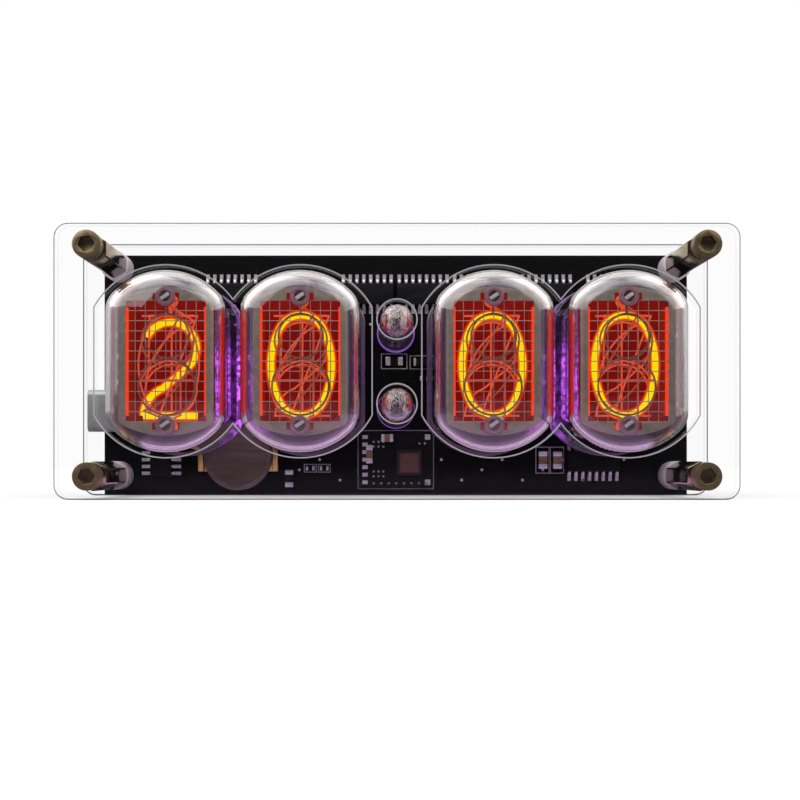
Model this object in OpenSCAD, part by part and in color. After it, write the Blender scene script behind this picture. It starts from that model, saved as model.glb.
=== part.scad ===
// End-view nixie tube clock: four tubes and two neon lamps on a black circuit board,
// held between two clear plates by screws, hex standoffs and round spacers.
// X runs to the right, Z up, and the clock faces -Y. Origin: centre of the base.

/* [Plates] */
// Width of the front plate beside the outer tube openings
front_margin = 6.85; // [6.4:0.05:9]
// Height of the front plate
front_h = 46.2; // [46:0.2:54]
// Thickness of the front plate
front_t = 3; // [2:0.5:4]
// How far the rear plate reaches beyond the front plate on each side
rear_margin = 2.4; // [0:0.2:6]
// Height of the rear plate
rear_h = 48; // [45:0.5:60]
// Thickness of the rear plate
rear_t = 3; // [2:0.5:4]
// Radius of the plates' corners
corner_r = 2.4; // [1:0.2:4]

/* [Circuit board] */
// Width of the circuit board beyond the screws on each side
board_margin = 2.9; // [2.8:0.1:4]
// Height of the circuit board
board_h = 44.5; // [44:0.1:44.8]
// Thickness of the circuit board
board_t = 1.6; // [1:0.2:2.4]
// How far the board's middle lies below the middle of the front plate
board_drop = 0.55; // [0.3:0.05:0.6]

/* [Fixings] */
// Distance from a screw to the nearer side edge of the front plate
screw_side = 6; // [4.5:0.1:7]
// Distance from a screw to the front plate's upper or lower edge
screw_edge = 3.9; // [3.6:0.1:4.1]
// Thread diameter of the screws
screw_d = 2.5; // [2:0.5:3]
// Clearance between a screw and the holes that it passes through
screw_gap = 0.2; // [0.1:0.05:0.4]
// Diameter of the screw heads
head_d = 4.7; // [4:0.1:5]
// Height of the screw heads
head_t = 2.5; // [2:0.1:3]
// Width across the flats of the hex sockets
socket_af = 2.5; // [1.5:0.5:2.5]
// Depth of the hex sockets
socket_deep = 1.3; // [0.8:0.1:1.6]
// Length of the front screws under their heads
front_screw_l = 8; // [6:1:12]
// Length of the rear screws under their heads
rear_screw_l = 20; // [18:1:22]
// Width across the flats of the standoffs
standoff_af = 4.5; // [4:0.1:5]
// Length of the standoffs
standoff_l = 18; // [16:0.5:22]
// Diameter of the round spacers
spacer_d = 5.2; // [4.6:0.1:5.4]
// Length of the spacers in front of the board
board_spacer_l = 6; // [5:0.5:8]
// Length of the spacers behind the board
rear_spacer_l = 5; // [4.5:0.5:7]

/* [Tubes] */
// Distance between the two tubes of a pair
tube_pitch = 22.4; // [22:0.1:23]
// Distance from the middle of the clock to the two inner tubes
inner_tube = 16.15; // [16:0.05:17]
// Width of a tube's glass
glass_w = 20; // [19:0.1:20.6]
// Height of a tube's glass
glass_h = 30.4; // [29:0.1:31]
// Wall of the glass
glass_wall = 0.9; // [0.6:0.1:1.2]
// Radius of the glass where its top and bottom curve
glass_cap_r = 12.2; // [12:0.1:14]
// Radius of the glass at its four corners
glass_corner_r = 4; // [3:0.1:5]
// Length of the glass from its front to its base
glass_l = 25.8; // [24:0.5:27]
// Thickness of the tube's base
base_t = 2.5; // [2:0.1:3]
// Width of the tube's base beyond the glass on each side
base_rim = 0.5; // [0.2:0.1:0.8]
// Diameter of the tube's pins
pin_d = 1; // [0.8:0.1:1.2]
// Length of the pins below the base
pin_l = 5; // [4:0.5:5.5]
// Radius of the pin ring from left to right
pin_ring_w = 6; // [5:0.1:7]
// Radius of the pin ring from top to bottom
pin_ring_h = 8.6; // [8:0.1:8.8]
// Gap between a tube's base and the receptacles
seat_gap = 1.5; // [0.1:0.1:2.5]

/* [Electrodes] */
// Distance from the front of the glass to the anode mesh
mesh_deep = 4.2; // [3:0.1:6]
// Thickness of the anode mesh
mesh_t = 0.15; // [0.1:0.05:0.3]
// Distance between the wires of the mesh
mesh_pitch = 1.68; // [1.5:0.02:1.9]
// Width of one wire of the mesh
mesh_wire = 0.2; // [0.1:0.02:0.3]
// Columns of openings in the mesh
mesh_columns = 8; // [6:1:9]
// Rows of openings in the mesh
mesh_rows = 12; // [10:1:13]
// Distance from the anode plate to the outside of the glass, left and right
anode_side = 2.1; // [1.4:0.1:2.4]
// Distance from the anode plate to the outside of the glass, above and below
anode_end = 2.8; // [1.4:0.1:3]
// Radius of the arcs at the top and bottom of the anode plate
anode_cap_r = 15.7; // [13:0.1:20]
// Thickness of the shield's side walls
side_wall_t = 0.4; // [0.2:0.05:0.6]
// Distance from the mesh to the first cathode, and between the cathodes
cathode_pitch = 0.62; // [0.5:0.02:0.8]
// Thickness of a cathode
cathode_t = 0.12; // [0.08:0.02:0.2]
// Width of a cathode's wire
cathode_wire = 0.3; // [0.25:0.01:0.5]
// Height of a digit between the middles of its wires
digit_h = 16.9; // [14:0.1:18]
// Width of a digit between the middles of its wires
digit_w = 9.2; // [8:0.1:10]
// Width of the 0, which is wider than the others
zero_w = 10.2; // [9:0.1:11]
// How much lower the top of the 2 is than that of the others
two_dip = 1; // [0:0.1:1.5]
// How far the digits sit below the middle of the window
digit_drop = 0.45; // [0:0.05:0.5]
// Distance between the two posts that carry the stack
post_span = 21.4; // [21:0.1:22]
// Diameter of the posts
post_d = 1; // [0.8:0.1:1.2]
// Diameter of the ceramic sleeves on the posts
sleeve_d = 1.6; // [1.4:0.1:1.8]
// Diameter of the ceramic eyelets
eyelet_d = 3.3; // [2.8:0.1:3.6]
// Thickness of the ceramic eyelets
eyelet_t = 0.6; // [0.4:0.1:1]
// Thickness of the shield behind the digits
shield_t = 0.3; // [0.2:0.05:0.4]

/* [Openings in the front plate] */
// Clearance beside a tube
slot_side_gap = 1.9; // [1.3:0.1:2.2]
// Clearance above and below a tube
slot_end_gap = 0.8; // [0.6:0.1:1.5]
// Radius of the opening's top and bottom beyond the radius of the glass
slot_arc_gap = 1.4; // [1:0.1:2.5]
// Clearance between a lamp and its hole
lamp_gap = 0.4; // [0.2:0.05:0.6]

/* [Neon lamps] */
// Diameter of a lamp's bulb
lamp_d = 5.7; // [5:0.1:6.2]
// Wall of a lamp's bulb
lamp_wall = 0.5; // [0.3:0.1:0.8]
// Distance between the two lamps
lamp_span = 14.1; // [13:0.1:14.4]
// Length of a lamp's electrodes
electrode_l = 7; // [4:0.5:10]
// Distance from the front face of the front plate to the lamps' tips
lamp_tip_deep = 0.4; // [0:0.1:3]
// Diameter of the collar under a lamp
collar_d = 7; // [6.5:0.1:8]
// Height of the collar under a lamp
collar_t = 2; // [1:0.1:4]

/* [Power inlet] */
// Width of the socket's shell
usb_w = 7.7; // [7.4:0.1:9]
// Height of the socket's shell above the board
usb_h = 3.3; // [2.6:0.1:3.9]
// Length of the socket's shell
usb_l = 7.3; // [6:0.1:7.4]
// Wall of the socket's shell
usb_wall = 0.35; // [0.2:0.05:0.5]
// How far the socket reaches past the edge of the board
usb_proud = 2.5; // [2.4:0.1:3]
// How far the socket lies below the middle of the front plate
usb_drop = 7.3; // [4:0.1:9]

/* [Coin cell] */
// Diameter of the coin cell
cell_d = 12.5; // [11.6:0.1:12.8]
// Thickness of the coin cell
cell_t = 2; // [1.6:0.1:2.5]
// Clearance between the cell and its holder
cell_gap = 0.15; // [0.1:0.05:0.3]

/* [Set buttons] */
// Width of a switch body
switch_w = 6; // [5:0.1:6.2]
// Height of a switch body
switch_t = 3.5; // [3:0.1:3.8]
// Diameter of a button
button_d = 3.5; // [3:0.1:3.8]
// Clearance between a button and what it slides in
button_gap = 0.08; // [0.04:0.01:0.1]
// How far a button stands out of the rear plate
button_proud = 1.8; // [1:0.1:2.4]
// Travel of a button
button_travel = 0.25; // [0.2:0.05:0.4]
// Distance between the buttons
button_pitch = 14; // [9:0.5:18]
// Height of the buttons above the board's lower edge
button_rise = 5.7; // [4.5:0.1:7]

/* [Board parts] */
// Length of a 16-pin chip's body
chip_l = 9.9; // [9.6:0.1:10.2]
// Width of a 16-pin chip's body
chip_w = 3.9; // [3.6:0.1:4.2]
// Thickness of a chip's body
chip_t = 1.5; // [1.2:0.1:1.8]
// Distance between the legs of a chip
leg_pitch = 1.27; // [1.2:0.01:1.3]
// Width of a leg
leg_w = 0.42; // [0.3:0.01:0.6]
// How far the legs reach beside the body
leg_reach = 1.05; // [0.8:0.05:1.2]
// Height of the upper row of chips above the middle of the front plate
chip_row_rise = 14.5; // [14.2:0.1:14.8]
// Side of a backlight
backlight_w = 5; // [3:0.1:5.4]
// Height of a backlight
backlight_t = 1.6; // [0.8:0.1:1.8]

/* [Hidden] */
$fn = 64;

// Depths are counted backwards from the front face of the front plate.
standoff_at = front_t;
board_spacer_at = standoff_at + standoff_l;
board_at = board_spacer_at + board_spacer_l;
board_back_at = board_at + board_t;
rear_plate_at = board_back_at + rear_spacer_l;
rear_face_at = rear_plate_at + rear_t;

// The tubes stand on the receptacles, and their glass reaches out through the front plate.
receptacle_wall = 0.4;
receptacle_front = 1.2;
receptacle_back = 1.4;
receptacle_gap = 0.05;
receptacle_d = pin_d + 2 * receptacle_gap + 2 * receptacle_wall;
pins_at = board_at - receptacle_front - seat_gap;
base_at = pins_at - base_t;
glass_at = base_at - glass_l;
mesh_at = glass_at + mesh_deep;
cathode_at = mesh_at + mesh_t + cathode_pitch;
// Order of the digits from front to back
stack = [3, 8, 9, 4, 0, 5, 7, 2, 6, 1];
shield_at = cathode_at + len(stack) * cathode_pitch;
anode_corner_r = 1.2;
post_tip = 0.4;
pin_count = 12;
pin_inside = 2;

front_reach = max(head_t, -glass_at);
overall_d = front_reach + rear_face_at + head_t;
front_y = front_reach - overall_d / 2;

slot_w = glass_w + 2 * slot_side_gap;
slot_h = glass_h + 2 * slot_end_gap;
slot_r = glass_cap_r + slot_arc_gap;
outer_tube = inner_tube + tube_pitch;
front_w = 2 * (outer_tube + slot_w / 2 + front_margin);
rear_w = front_w + 2 * rear_margin;
screw_x = front_w / 2 - screw_side;
screw_z = front_h / 2 - screw_edge;
board_w = 2 * (screw_x + board_margin);

middle_z = front_h / 2;
board_z = middle_z - board_drop;
lamp_z = [middle_z + lamp_span / 2, middle_z - lamp_span / 2];
usb_z = middle_z - usb_drop;
tube_x = [-outer_tube, -inner_tube, inner_tube, outer_tube];
shown = [2, 0, 0, 0];

button_x = [-button_pitch, 0, button_pitch];
button_z = board_z - board_h / 2 + button_rise;
button_seat = 1.6;
button_l = rear_face_at + button_proud - board_back_at - button_seat;
lamp_lead_d = 0.5;
lamp_lead_x = 1.27;
lamp_seal_t = 2;

// Places of the board's parts, from the middle of the front plate: [right, up]
chip_x = [-43, -30.5, -17.9, -5.3, 5.1, 15.4, 28, 40.2];
low_chip = [36.7, -16.6];
upright_chip = [-43.6, -14.4];
cell_place = [-29.2, -15.7];
module_place = [0, -16.3];
capacitor_places = [[27.3, -16.4], [30, -16.4]];
// Small parts: [right, up, width, height, thickness]
small_places = [
  [-0.3, 2, 3.2, 1.6, 0.6], [4.8, 1.8, 3, 1.4, 1.1], [5.3, -1.2, 1.6, 0.8, 0.5],
  [-15.9, -17.9, 1.6, 0.8, 0.5], [-13.3, -17.9, 1.6, 0.8, 0.5], [-19.8, -19.8, 1.5, 3.2, 0.9]
];

// Puts a shape drawn in X and Z at a depth
module at(x, z, deep) translate([x, front_y + deep, z]) children();
// Raises a flat outline drawn in X and Z to a slab that runs backwards
module slab(t) translate([0, t, 0]) rotate([90, 0, 0]) linear_extrude(t) children();
// A round bar that runs backwards
module bar(d, l) slab(l) circle(d = d);
module pipe(d, bore, l) slab(l) difference() { circle(d = d); circle(d = bore); }
// A plain block whose back lies on the board's front face, or a lift above it
module block(place, size, t, lift = 0)
  at(place[0], middle_z + place[1], board_at - lift - t) slab(t) square(size, center = true);

module at_screws(deep)
  for (sx = [-1, 1], sz = [-1, 1]) at(sx * screw_x, middle_z + sz * screw_z, deep) children();

module rounded(w, h, r) {
  square([w - 2 * r, h], center = true);
  square([w, h - 2 * r], center = true);
  for (sx = [-1, 1], sz = [-1, 1]) translate([sx * (w / 2 - r), sz * (h / 2 - r)]) circle(r);
}

// Outline with straight sides, round corners and a wide arc at top and bottom. It is built from
// one quarter, which the corner's middle [x, z], its radius, and the arc's middle and radius give.
arc_steps = 6;
function corner(w, h, cap, r) =
  [w - r, h - cap + sqrt((cap - r) * (cap - r) - (w - r) * (w - r)), r, h - cap, cap];
function quarter(c) =
  let (top = atan2(c[0], c[1] - c[3]))
  concat(
    [for (i = [0 : arc_steps]) let (a = 90 * (1 - i / arc_steps) + top * i / arc_steps)
      [c[0] + c[2] * sin(a), c[1] + c[2] * cos(a)]],
    [for (i = [1 : arc_steps - 1]) let (a = top * (1 - i / arc_steps))
      [c[4] * sin(a), c[3] + c[4] * cos(a)]],
    [[0, c[3] + c[4]]]);
function turned(pts) = [for (i = [len(pts) - 1 : -1 : 0]) pts[i]];
function lozenge(w, h, cap, r) =
  let (q = quarter(corner(w, h, cap, r)), n = len(q))
  concat(q, [for (i = [n - 2 : -1 : 0]) [-q[i][0], q[i][1]]],
    [for (i = [0 : n - 1]) [-q[i][0], -q[i][1]]],
    [for (i = [n - 2 : -1 : 0]) [q[i][0], -q[i][1]]]);

// Outline of the tube, drawn inset by the given amount
least_corner_r = 0.2;
function oval(inset) = lozenge(glass_w / 2 - inset, glass_h / 2 - inset, glass_cap_r - inset,
  max(glass_corner_r - inset, least_corner_r));

// The glass bulb is lofted from rings of that outline: [inset, scale, depth]
edge_steps = 6;
edge_r = 3.6;
dome = 0.6;
function glass_rings(wall) =
  concat(
    [[wall, 1, glass_l]],
    [for (i = [0 : edge_steps]) let (a = 90 * i / edge_steps, r = edge_r - wall)
      [wall + r * (1 - cos(a)), 1, wall + dome + r * (1 - sin(a))]],
    [[edge_r, 0.66, wall + dome * 0.35], [edge_r, 0.3, wall]]);
function ring_points(ring) =
  [for (p = oval(ring[0])) [p[0] * ring[1], ring[2], p[1] * ring[1]]];

module tube_envelope(x) {
  outer = glass_rings(0);
  inner = turned(glass_rings(glass_wall));
  rings = concat(outer, inner);
  n = len(oval(0));
  m = len(rings);
  pts = [for (r = rings) each ring_points(r)];
  faces = [for (k = [0 : m - 1], i = [0 : n - 1])
    if (k != len(outer) - 1)
      let (a = k * n + i, b = k * n + (i + 1) % n, k2 = (k + 1) % m)
      [a, b, k2 * n + (i + 1) % n, k2 * n + i]];
  caps = [[for (i = [0 : n - 1]) (len(outer) - 1) * n + i],
          [for (i = [n - 1 : -1 : 0]) len(outer) * n + i]];
  color([0.8, 0.85, 0.9, 0.35])
    at(x, middle_z, glass_at) polyhedron(pts, concat(faces, caps), convexity = 6);
}

module at_pins(x, deep)
  for (i = [0 : pin_count - 1]) let (a = 360 / pin_count * (i + 0.5))
    at(x + pin_ring_w * cos(a), middle_z + pin_ring_h * sin(a), deep) children();

module at_posts(x, deep)
  for (s = [-1, 1]) at(x, middle_z + s * post_span / 2, deep) children();

module tube_base(x) color("silver") difference() {
  at(x, middle_z, base_at) slab(base_t) polygon(oval(-base_rim));
  at_pins(x, base_at - 1) bar(pin_d, base_t + 2);
}

module tube_pins(x) color("gold") at_pins(x, base_at - pin_inside)
  bar(pin_d, pin_inside + base_t + pin_l);

// Outline of the plates that close the stack of digits in front and behind
module stack_outline()
  polygon(lozenge(glass_w / 2 - anode_side, glass_h / 2 - anode_end, anode_cap_r, anode_corner_r));

// Back plate with a side wall left and right, beside the stack of digits
module tube_shield(x) color("darkred") {
  wall_x = (mesh_columns * mesh_pitch - side_wall_t) / 2;
  wall_h = post_span - eyelet_d;
  difference() {
    at(x, middle_z, shield_at) slab(shield_t) stack_outline();
    at_posts(x, shield_at - 1) bar(sleeve_d, shield_t + 2);
  }
  for (s = [-1, 1]) at(x + s * wall_x, middle_z, mesh_at + mesh_t)
    slab(shield_at - mesh_at - mesh_t) square([side_wall_t, wall_h], center = true);
}

// Posts with ceramic sleeves, and a ceramic eyelet on the front of each
module tube_posts(x) color("thistle") {
  front = mesh_at - eyelet_t;
  at_posts(x, front - post_tip) bar(post_d, base_at - front + post_tip);
  at_posts(x, front) pipe(eyelet_d, post_d, eyelet_t);
  at_posts(x, mesh_at) pipe(sleeve_d, post_d, base_at - mesh_at);
}

// Beside each eyelet the plate has a small opening left and right.
notch = [1.25, 1.15];
notch_x = 1.65;
module tube_anode_mesh(x) color("rosybrown") difference() {
  at(x, middle_z, mesh_at) slab(mesh_t) difference() {
    stack_outline();
    for (sx = [-1, 1], sz = [-1, 1])
      translate([sx * notch_x, sz * (mesh_rows * mesh_pitch / 2 + mesh_wire / 2 + notch[1] / 2)])
        square(notch, center = true);
    for (i = [0 : mesh_columns - 1], j = [0 : mesh_rows - 1])
      translate([(i - (mesh_columns - 1) / 2) * mesh_pitch, (j - (mesh_rows - 1) / 2) * mesh_pitch])
        if (abs(i - (mesh_columns - 1) / 2) > 1 || (j > 0 && j < mesh_rows - 1))
          square(mesh_pitch - mesh_wire, center = true);
  }
  at_posts(x, mesh_at - 1) bar(sleeve_d, mesh_t + 2);
}

// One stroke of a digit: a straight wire or an arc from angle a to angle b
module wire(p, q) {
  d = q - p;
  translate([p[0], 0, p[1]]) rotate([0, -atan2(d[1], d[0]), 0])
    translate([-cathode_wire / 2, 0, -cathode_wire / 2])
      cube([norm(d) + cathode_wire, cathode_t, cathode_wire]);
}
module arc(c, r, a, b)
  translate([c[0], cathode_t, c[1]]) rotate([90, 0, 0]) rotate([0, 0, a])
    rotate_extrude(angle = b - a) translate([r - cathode_wire / 2, 0]) square([cathode_wire, cathode_t]);
module ring(c, r) translate([c[0], 0, c[1]]) pipe(2 * r + cathode_wire, 2 * r - cathode_wire, cathode_t);

u = digit_w / 2;
v = digit_h / 2;
module digit_0() {
  side = zero_w / 2;
  end_r = 0.8 * side;
  e = v - end_r;
  s = (e * e - (side - end_r) * (side - end_r)) / (2 * (side - end_r));
  a = atan2(e, s);
  arc([0, e], end_r, a - 1, 181 - a);
  arc([0, -e], end_r, 179 + a, 361 - a);
  arc([-s, 0], side + s, -a, a);
  arc([s, 0], side + s, 180 - a, 180 + a);
}
module digit_1() wire([0, -v], [0, v]);
module digit_2() {
  top_r = 0.96 * u;
  low_r = 1.08 * u;
  head = [0, v - two_dip - top_r];
  foot = [0.1 * u, -v];
  arc(head, top_r, -45, 155);
  arc(foot, low_r, 110, 180);
  wire(head + top_r * [cos(-45), sin(-45)], foot + low_r * [cos(110), sin(110)]);
  wire([-u, -v], [u, -v]);
}
module digit_3() {
  top_r = 0.82 * u;
  low_r = v - top_r;
  arc([0, v - top_r], top_r, -92, 150);
  arc([0, low_r - v], low_r, -150, 92);
}
module digit_4() {
  wire([four_x, -v], [four_x, v]);
  wire([four_x, v], [-u, -0.3 * v]);
  wire([-u, -0.3 * v], [u, -0.3 * v]);
}
module digit_5() {
  r = u;
  c = [0, r - v];
  wire([-0.72 * u, v], [0.9 * u, v]);
  wire([-0.72 * u, v], c + r * [cos(140), sin(140)]);
  arc(c, r, -150, 140);
}
// The 6 is a ring with a long arc that leaves it a little inside the ring's outer edge
six_r = 0.95 * u;
six_big = 2 * v - six_r;
six_turn = 110;
six_centre = [six_big - six_r + cathode_wire / 4, six_r - v];
six_tip = six_centre + six_big * [cos(six_turn), sin(six_turn)];
module digit_6() {
  ring([0, six_r - v], six_r);
  arc(six_centre, six_big, six_turn, 180);
}
module digit_7() {
  wire([-u, v], [u, v]);
  wire([u, v], [seven_x, -v]);
}
module digit_8() {
  top_r = 0.8 * u;
  low_r = v - top_r;
  ring([0, v - top_r], top_r);
  ring([0, low_r - v], low_r);
}
module digit_9() mirror([0, 0, 1]) mirror([1, 0, 0]) digit_6();

four_x = 0.45 * u;
seven_x = -0.4 * u;
// Where the upper and the lower stem of a digit meet it
function stem_top(d) =
  d == 2 ? [0, v - two_dip] : d == 4 ? [four_x, v] : d == 6 ? six_tip : [0, v];
function stem_low(d) = d == 4 ? [four_x, -v] : d == 7 ? [seven_x, -v] : d == 9 ? -six_tip : [0, -v];
module digit(d) {
  if (d == 0) digit_0();
  if (d == 1) digit_1();
  if (d == 2) digit_2();
  if (d == 3) digit_3();
  if (d == 4) digit_4();
  if (d == 5) digit_5();
  if (d == 6) digit_6();
  if (d == 7) digit_7();
  if (d == 8) digit_8();
  if (d == 9) digit_9();
}
module cathode(x, k) at(x, middle_z, cathode_at + k * cathode_pitch) {
  d = stack[k];
  post_z = post_span / 2;
  drop = [0, digit_drop];
  eye_d = sleeve_d + 2 * cathode_wire;
  union() {
    translate([0, 0, -digit_drop]) digit(d);
    wire(stem_top(d) - drop, [0, post_z - eye_d / 2 + cathode_wire / 2]);
    wire(stem_low(d) - drop, [0, eye_d / 2 - cathode_wire / 2 - post_z]);
    for (s = [-1, 1]) translate([0, 0, s * post_z]) pipe(eye_d, sleeve_d, cathode_t);
  }
}
module tube_cathodes(x, lit) color("dimgray")
  for (k = [0 : len(stack) - 1]) if (stack[k] != lit) cathode(x, k);
module tube_lit_cathode(x, lit) color("orange")
  for (k = [0 : len(stack) - 1]) if (stack[k] == lit) cathode(x, k);

module front_plate() color([0.9, 0.95, 1, 0.3]) at(0, middle_z, 0) slab(front_t) difference() {
  rounded(front_w, front_h, corner_r);
  for (x = tube_x) translate([x, 0]) tube_slot();
  for (z = lamp_z) translate([0, z - middle_z]) circle(d = lamp_d + 2 * lamp_gap);
  for (sx = [-1, 1], sz = [-1, 1])
    translate([sx * screw_x, sz * screw_z]) circle(d = screw_d + screw_gap);
}
module tube_slot() {
  c = slot_h / 2 - slot_r;
  intersection() {
    square([slot_w, slot_h + 1], center = true);
    union() {
      for (s = [-1, 1]) translate([0, s * c]) circle(slot_r);
      square([2 * slot_r, 2 * c], center = true);
    }
  }
}
module rear_plate() color([0.9, 0.95, 1, 0.3]) at(0, rear_h / 2, rear_plate_at) slab(rear_t) difference() {
  rounded(rear_w, rear_h, corner_r);
  for (sx = [-1, 1], sz = [-1, 1])
    translate([sx * screw_x, middle_z - rear_h / 2 + sz * screw_z]) circle(d = screw_d + screw_gap);
  for (x = button_x) translate([x, button_z - rear_h / 2]) circle(d = button_d + 2 * button_gap);
}

module circuit_board() color([0.05, 0.05, 0.06]) difference() {
  at(0, board_z, board_at) slab(board_t) square([board_w, board_h], center = true);
  at_screws(board_at - 1) bar(screw_d + screw_gap, board_t + 2);
  for (x = tube_x) at_pins(x, board_at - 1) bar(receptacle_d + 2 * receptacle_gap, board_t + 2);
  at_lamp_leads(board_at - 1) bar(lamp_lead_d, board_t + 2);
}
module pin_receptacles() color("gold")
  for (x = tube_x) at_pins(x, board_at - receptacle_front) {
    difference() {
      union() {
        bar(receptacle_d, receptacle_front + board_t + receptacle_back);
        bar(receptacle_d + 2 * receptacle_wall, receptacle_front);
      }
      translate([0, -1, 0])
        bar(pin_d + 2 * receptacle_gap, receptacle_front + board_t + receptacle_back + 2);
    }
  }

module cap_screw(l) {
  difference() {
    union() {
      translate([0, -head_t, 0]) bar(head_d, head_t);
      bar(screw_d, l);
    }
    translate([0, -head_t - 1, 0]) rotate([-90, 0, 0])
      cylinder(d = socket_af / cos(30), h = socket_deep + 1, $fn = 6);
  }
}
module front_screws() color("darkkhaki") at_screws(0) cap_screw(front_screw_l);
module rear_screws() color("darkkhaki") at_screws(rear_face_at) rotate([0, 0, 180]) cap_screw(rear_screw_l);
module hex_standoffs() color("tan") at_screws(standoff_at) difference() {
  rotate([-90, 0, 0]) cylinder(d = standoff_af / cos(30), h = standoff_l, $fn = 6);
  translate([0, -1, 0]) bar(screw_d, standoff_l + 2);
}
module board_spacers() color("white") at_screws(board_spacer_at)
  pipe(spacer_d, screw_d + screw_gap, board_spacer_l);
module rear_spacers() color("white") at_screws(board_back_at)
  pipe(spacer_d, screw_d + screw_gap, rear_spacer_l);

// A lamp's bulb: a round glass with a domed tip, sealed at its back
module at_lamp_leads(deep)
  for (z = lamp_z, s = [-1, 1]) at(s * lamp_lead_x, z, deep) children();
module lamp_bulb(z) color([0.9, 0.85, 0.9, 0.4]) at(0, z, lamp_tip_deep) {
  l = board_at - collar_t - lamp_tip_deep;
  r = lamp_d / 2;
  difference() {
    lamp_form(r, l);
    translate([0, lamp_wall, 0]) lamp_form(r - lamp_wall, l - lamp_wall - lamp_seal_t);
    for (s = [-1, 1]) translate([s * lamp_lead_x, l - lamp_seal_t - 1, 0])
      bar(lamp_lead_d, lamp_seal_t + 2);
  }
}
module lamp_form(r, l) rotate([-90, 0, 0]) rotate_extrude() intersection() {
  union() {
    translate([0, r]) circle(r);
    translate([0, r]) square([r, l - r]);
  }
  square([r, l]);
}
// Two bent plates on their leads, side by side behind the tip
electrode_w = 2.6;
electrode_t = 0.6;
electrode_deep = 2.7;
lead_end = 1;
module lamp_electrodes(z) color("rosybrown") {
  lead_at = lamp_tip_deep + electrode_deep + electrode_l;
  for (s = [-1, 1]) {
    at(s * lamp_lead_x, z, lead_at) bar(lamp_lead_d, board_back_at + lead_end - lead_at);
    at(s * lamp_lead_x, z, lead_at - electrode_l)
      slab(electrode_l) square([electrode_t, electrode_w], center = true);
  }
}
module lamp_collars() color("white")
  for (z = lamp_z) at(0, z, board_at - collar_t) difference() {
    bar(collar_d, collar_t);
    for (s = [-1, 1]) translate([s * lamp_lead_x, -1, 0]) bar(lamp_lead_d, collar_t + 2);
  }

module backlights() color("white") for (x = tube_x) difference() {
  block([x, 0], [backlight_w, backlight_w], backlight_t);
  at(x, middle_z, board_at - backlight_t - 1) bar(0.8 * backlight_w, 1.4);
}

// A 16-pin chip with bent legs along its two long sides, drawn round its own middle
leg_count = 8;
module chip() {
  lift = 0.15;
  foot = 0.6;
  at(0, 0, board_at - chip_t - lift) slab(chip_t) square([chip_l, chip_w], center = true);
  for (i = [0 : leg_count - 1], s = [0, 1])
    translate([0, front_y + board_at, 0]) mirror([0, 0, s])
      translate([(i - (leg_count - 1) / 2) * leg_pitch - leg_w / 2, 0, chip_w / 2])
        rotate([90, 0, 90]) linear_extrude(leg_w) polygon([
          [-0.75, 0], [-0.75, leg_reach - foot + 0.2], [-0.2, leg_reach - foot + 0.2], [-0.2, leg_reach],
          [0, leg_reach], [0, leg_reach - foot], [-0.55, leg_reach - foot], [-0.55, 0]]);
}
module driver_chips() color([0.15, 0.15, 0.16]) {
  for (x = chip_x) translate([x, 0, middle_z + chip_row_rise]) chip();
  translate([low_chip[0], 0, middle_z + low_chip[1]]) chip();
}
module interface_chip() color([0.15, 0.15, 0.16])
  translate([upright_chip[0], 0, middle_z + upright_chip[1]]) rotate([0, 90, 0]) chip();

// A small board of its own with a coil, a capacitor and a row of parts on it
module_size = [13.4, 10.2];
module_t = 0.8;
module power_module() color([0.2, 0.15, 0.15]) {
  block(module_place, module_size, module_t);
  block(module_place + [2.5, -0.6], [3.6, 3.6], 1.8, module_t);
  block(module_place + [-1.6, 4], [2.2, 1.4], 1.2, module_t);
  block(module_place + [-4.9, 1], [1.2, 3.4], 0.8, module_t);
}
module ceramic_capacitors() color("saddlebrown")
  for (place = capacitor_places) block(place, [1.6, 3.2], 1.2);
module small_parts() color("dimgray")
  for (p = small_places) block([p[0], p[1]], [p[2], p[3]], p[4]);

usb_x = -board_w / 2 - usb_proud;
module usb_shell() color("silver") at(usb_x, usb_z, board_at - usb_h) difference() {
  translate([0, 0, -usb_w / 2]) cube([usb_l, usb_h, usb_w]);
  translate([-1, usb_wall, usb_wall - usb_w / 2])
    cube([usb_l - usb_wall + 1, usb_h - 2 * usb_wall, usb_w - 2 * usb_wall]);
}
tongue_l = 0.7 * usb_l;
tongue_w = 0.6 * usb_w;
tongue_t = 0.2 * usb_h;
module usb_tongue() color([0.1, 0.1, 0.1])
  at(usb_x + usb_l - usb_wall - tongue_l, usb_z, board_at - usb_h / 2 - tongue_t / 2)
    translate([0, 0, -tongue_w / 2]) cube([tongue_l, tongue_t, tongue_w]);

holder_base = 0.4;
holder_wall = 1;
holder_h = 5.6;
module coin_cell() color("darkgray")
  at(cell_place[0], middle_z + cell_place[1], board_at - holder_base - cell_t) bar(cell_d, cell_t);
module cell_holder() color("goldenrod") {
  w = cell_d + 2 * cell_gap;
  block(cell_place, [w + 2 * holder_wall, holder_h], holder_base);
  for (s = [-1, 1])
    block(cell_place + [s * (w + holder_wall) / 2, 0], [holder_wall, holder_h], 0.75 * cell_t, holder_base);
}

module switch_bodies() color([0.1, 0.1, 0.1]) for (x = button_x) difference() {
  at(x, button_z, board_back_at) slab(switch_t) square(switch_w, center = true);
  at(x, button_z, board_back_at + button_seat - button_travel - button_gap)
    bar(button_d + 2 * button_gap, switch_t);
}
module button(x) color([0.15, 0.15, 0.15])
  at(x, button_z, board_back_at + button_seat) bar(button_d, button_l);

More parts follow.
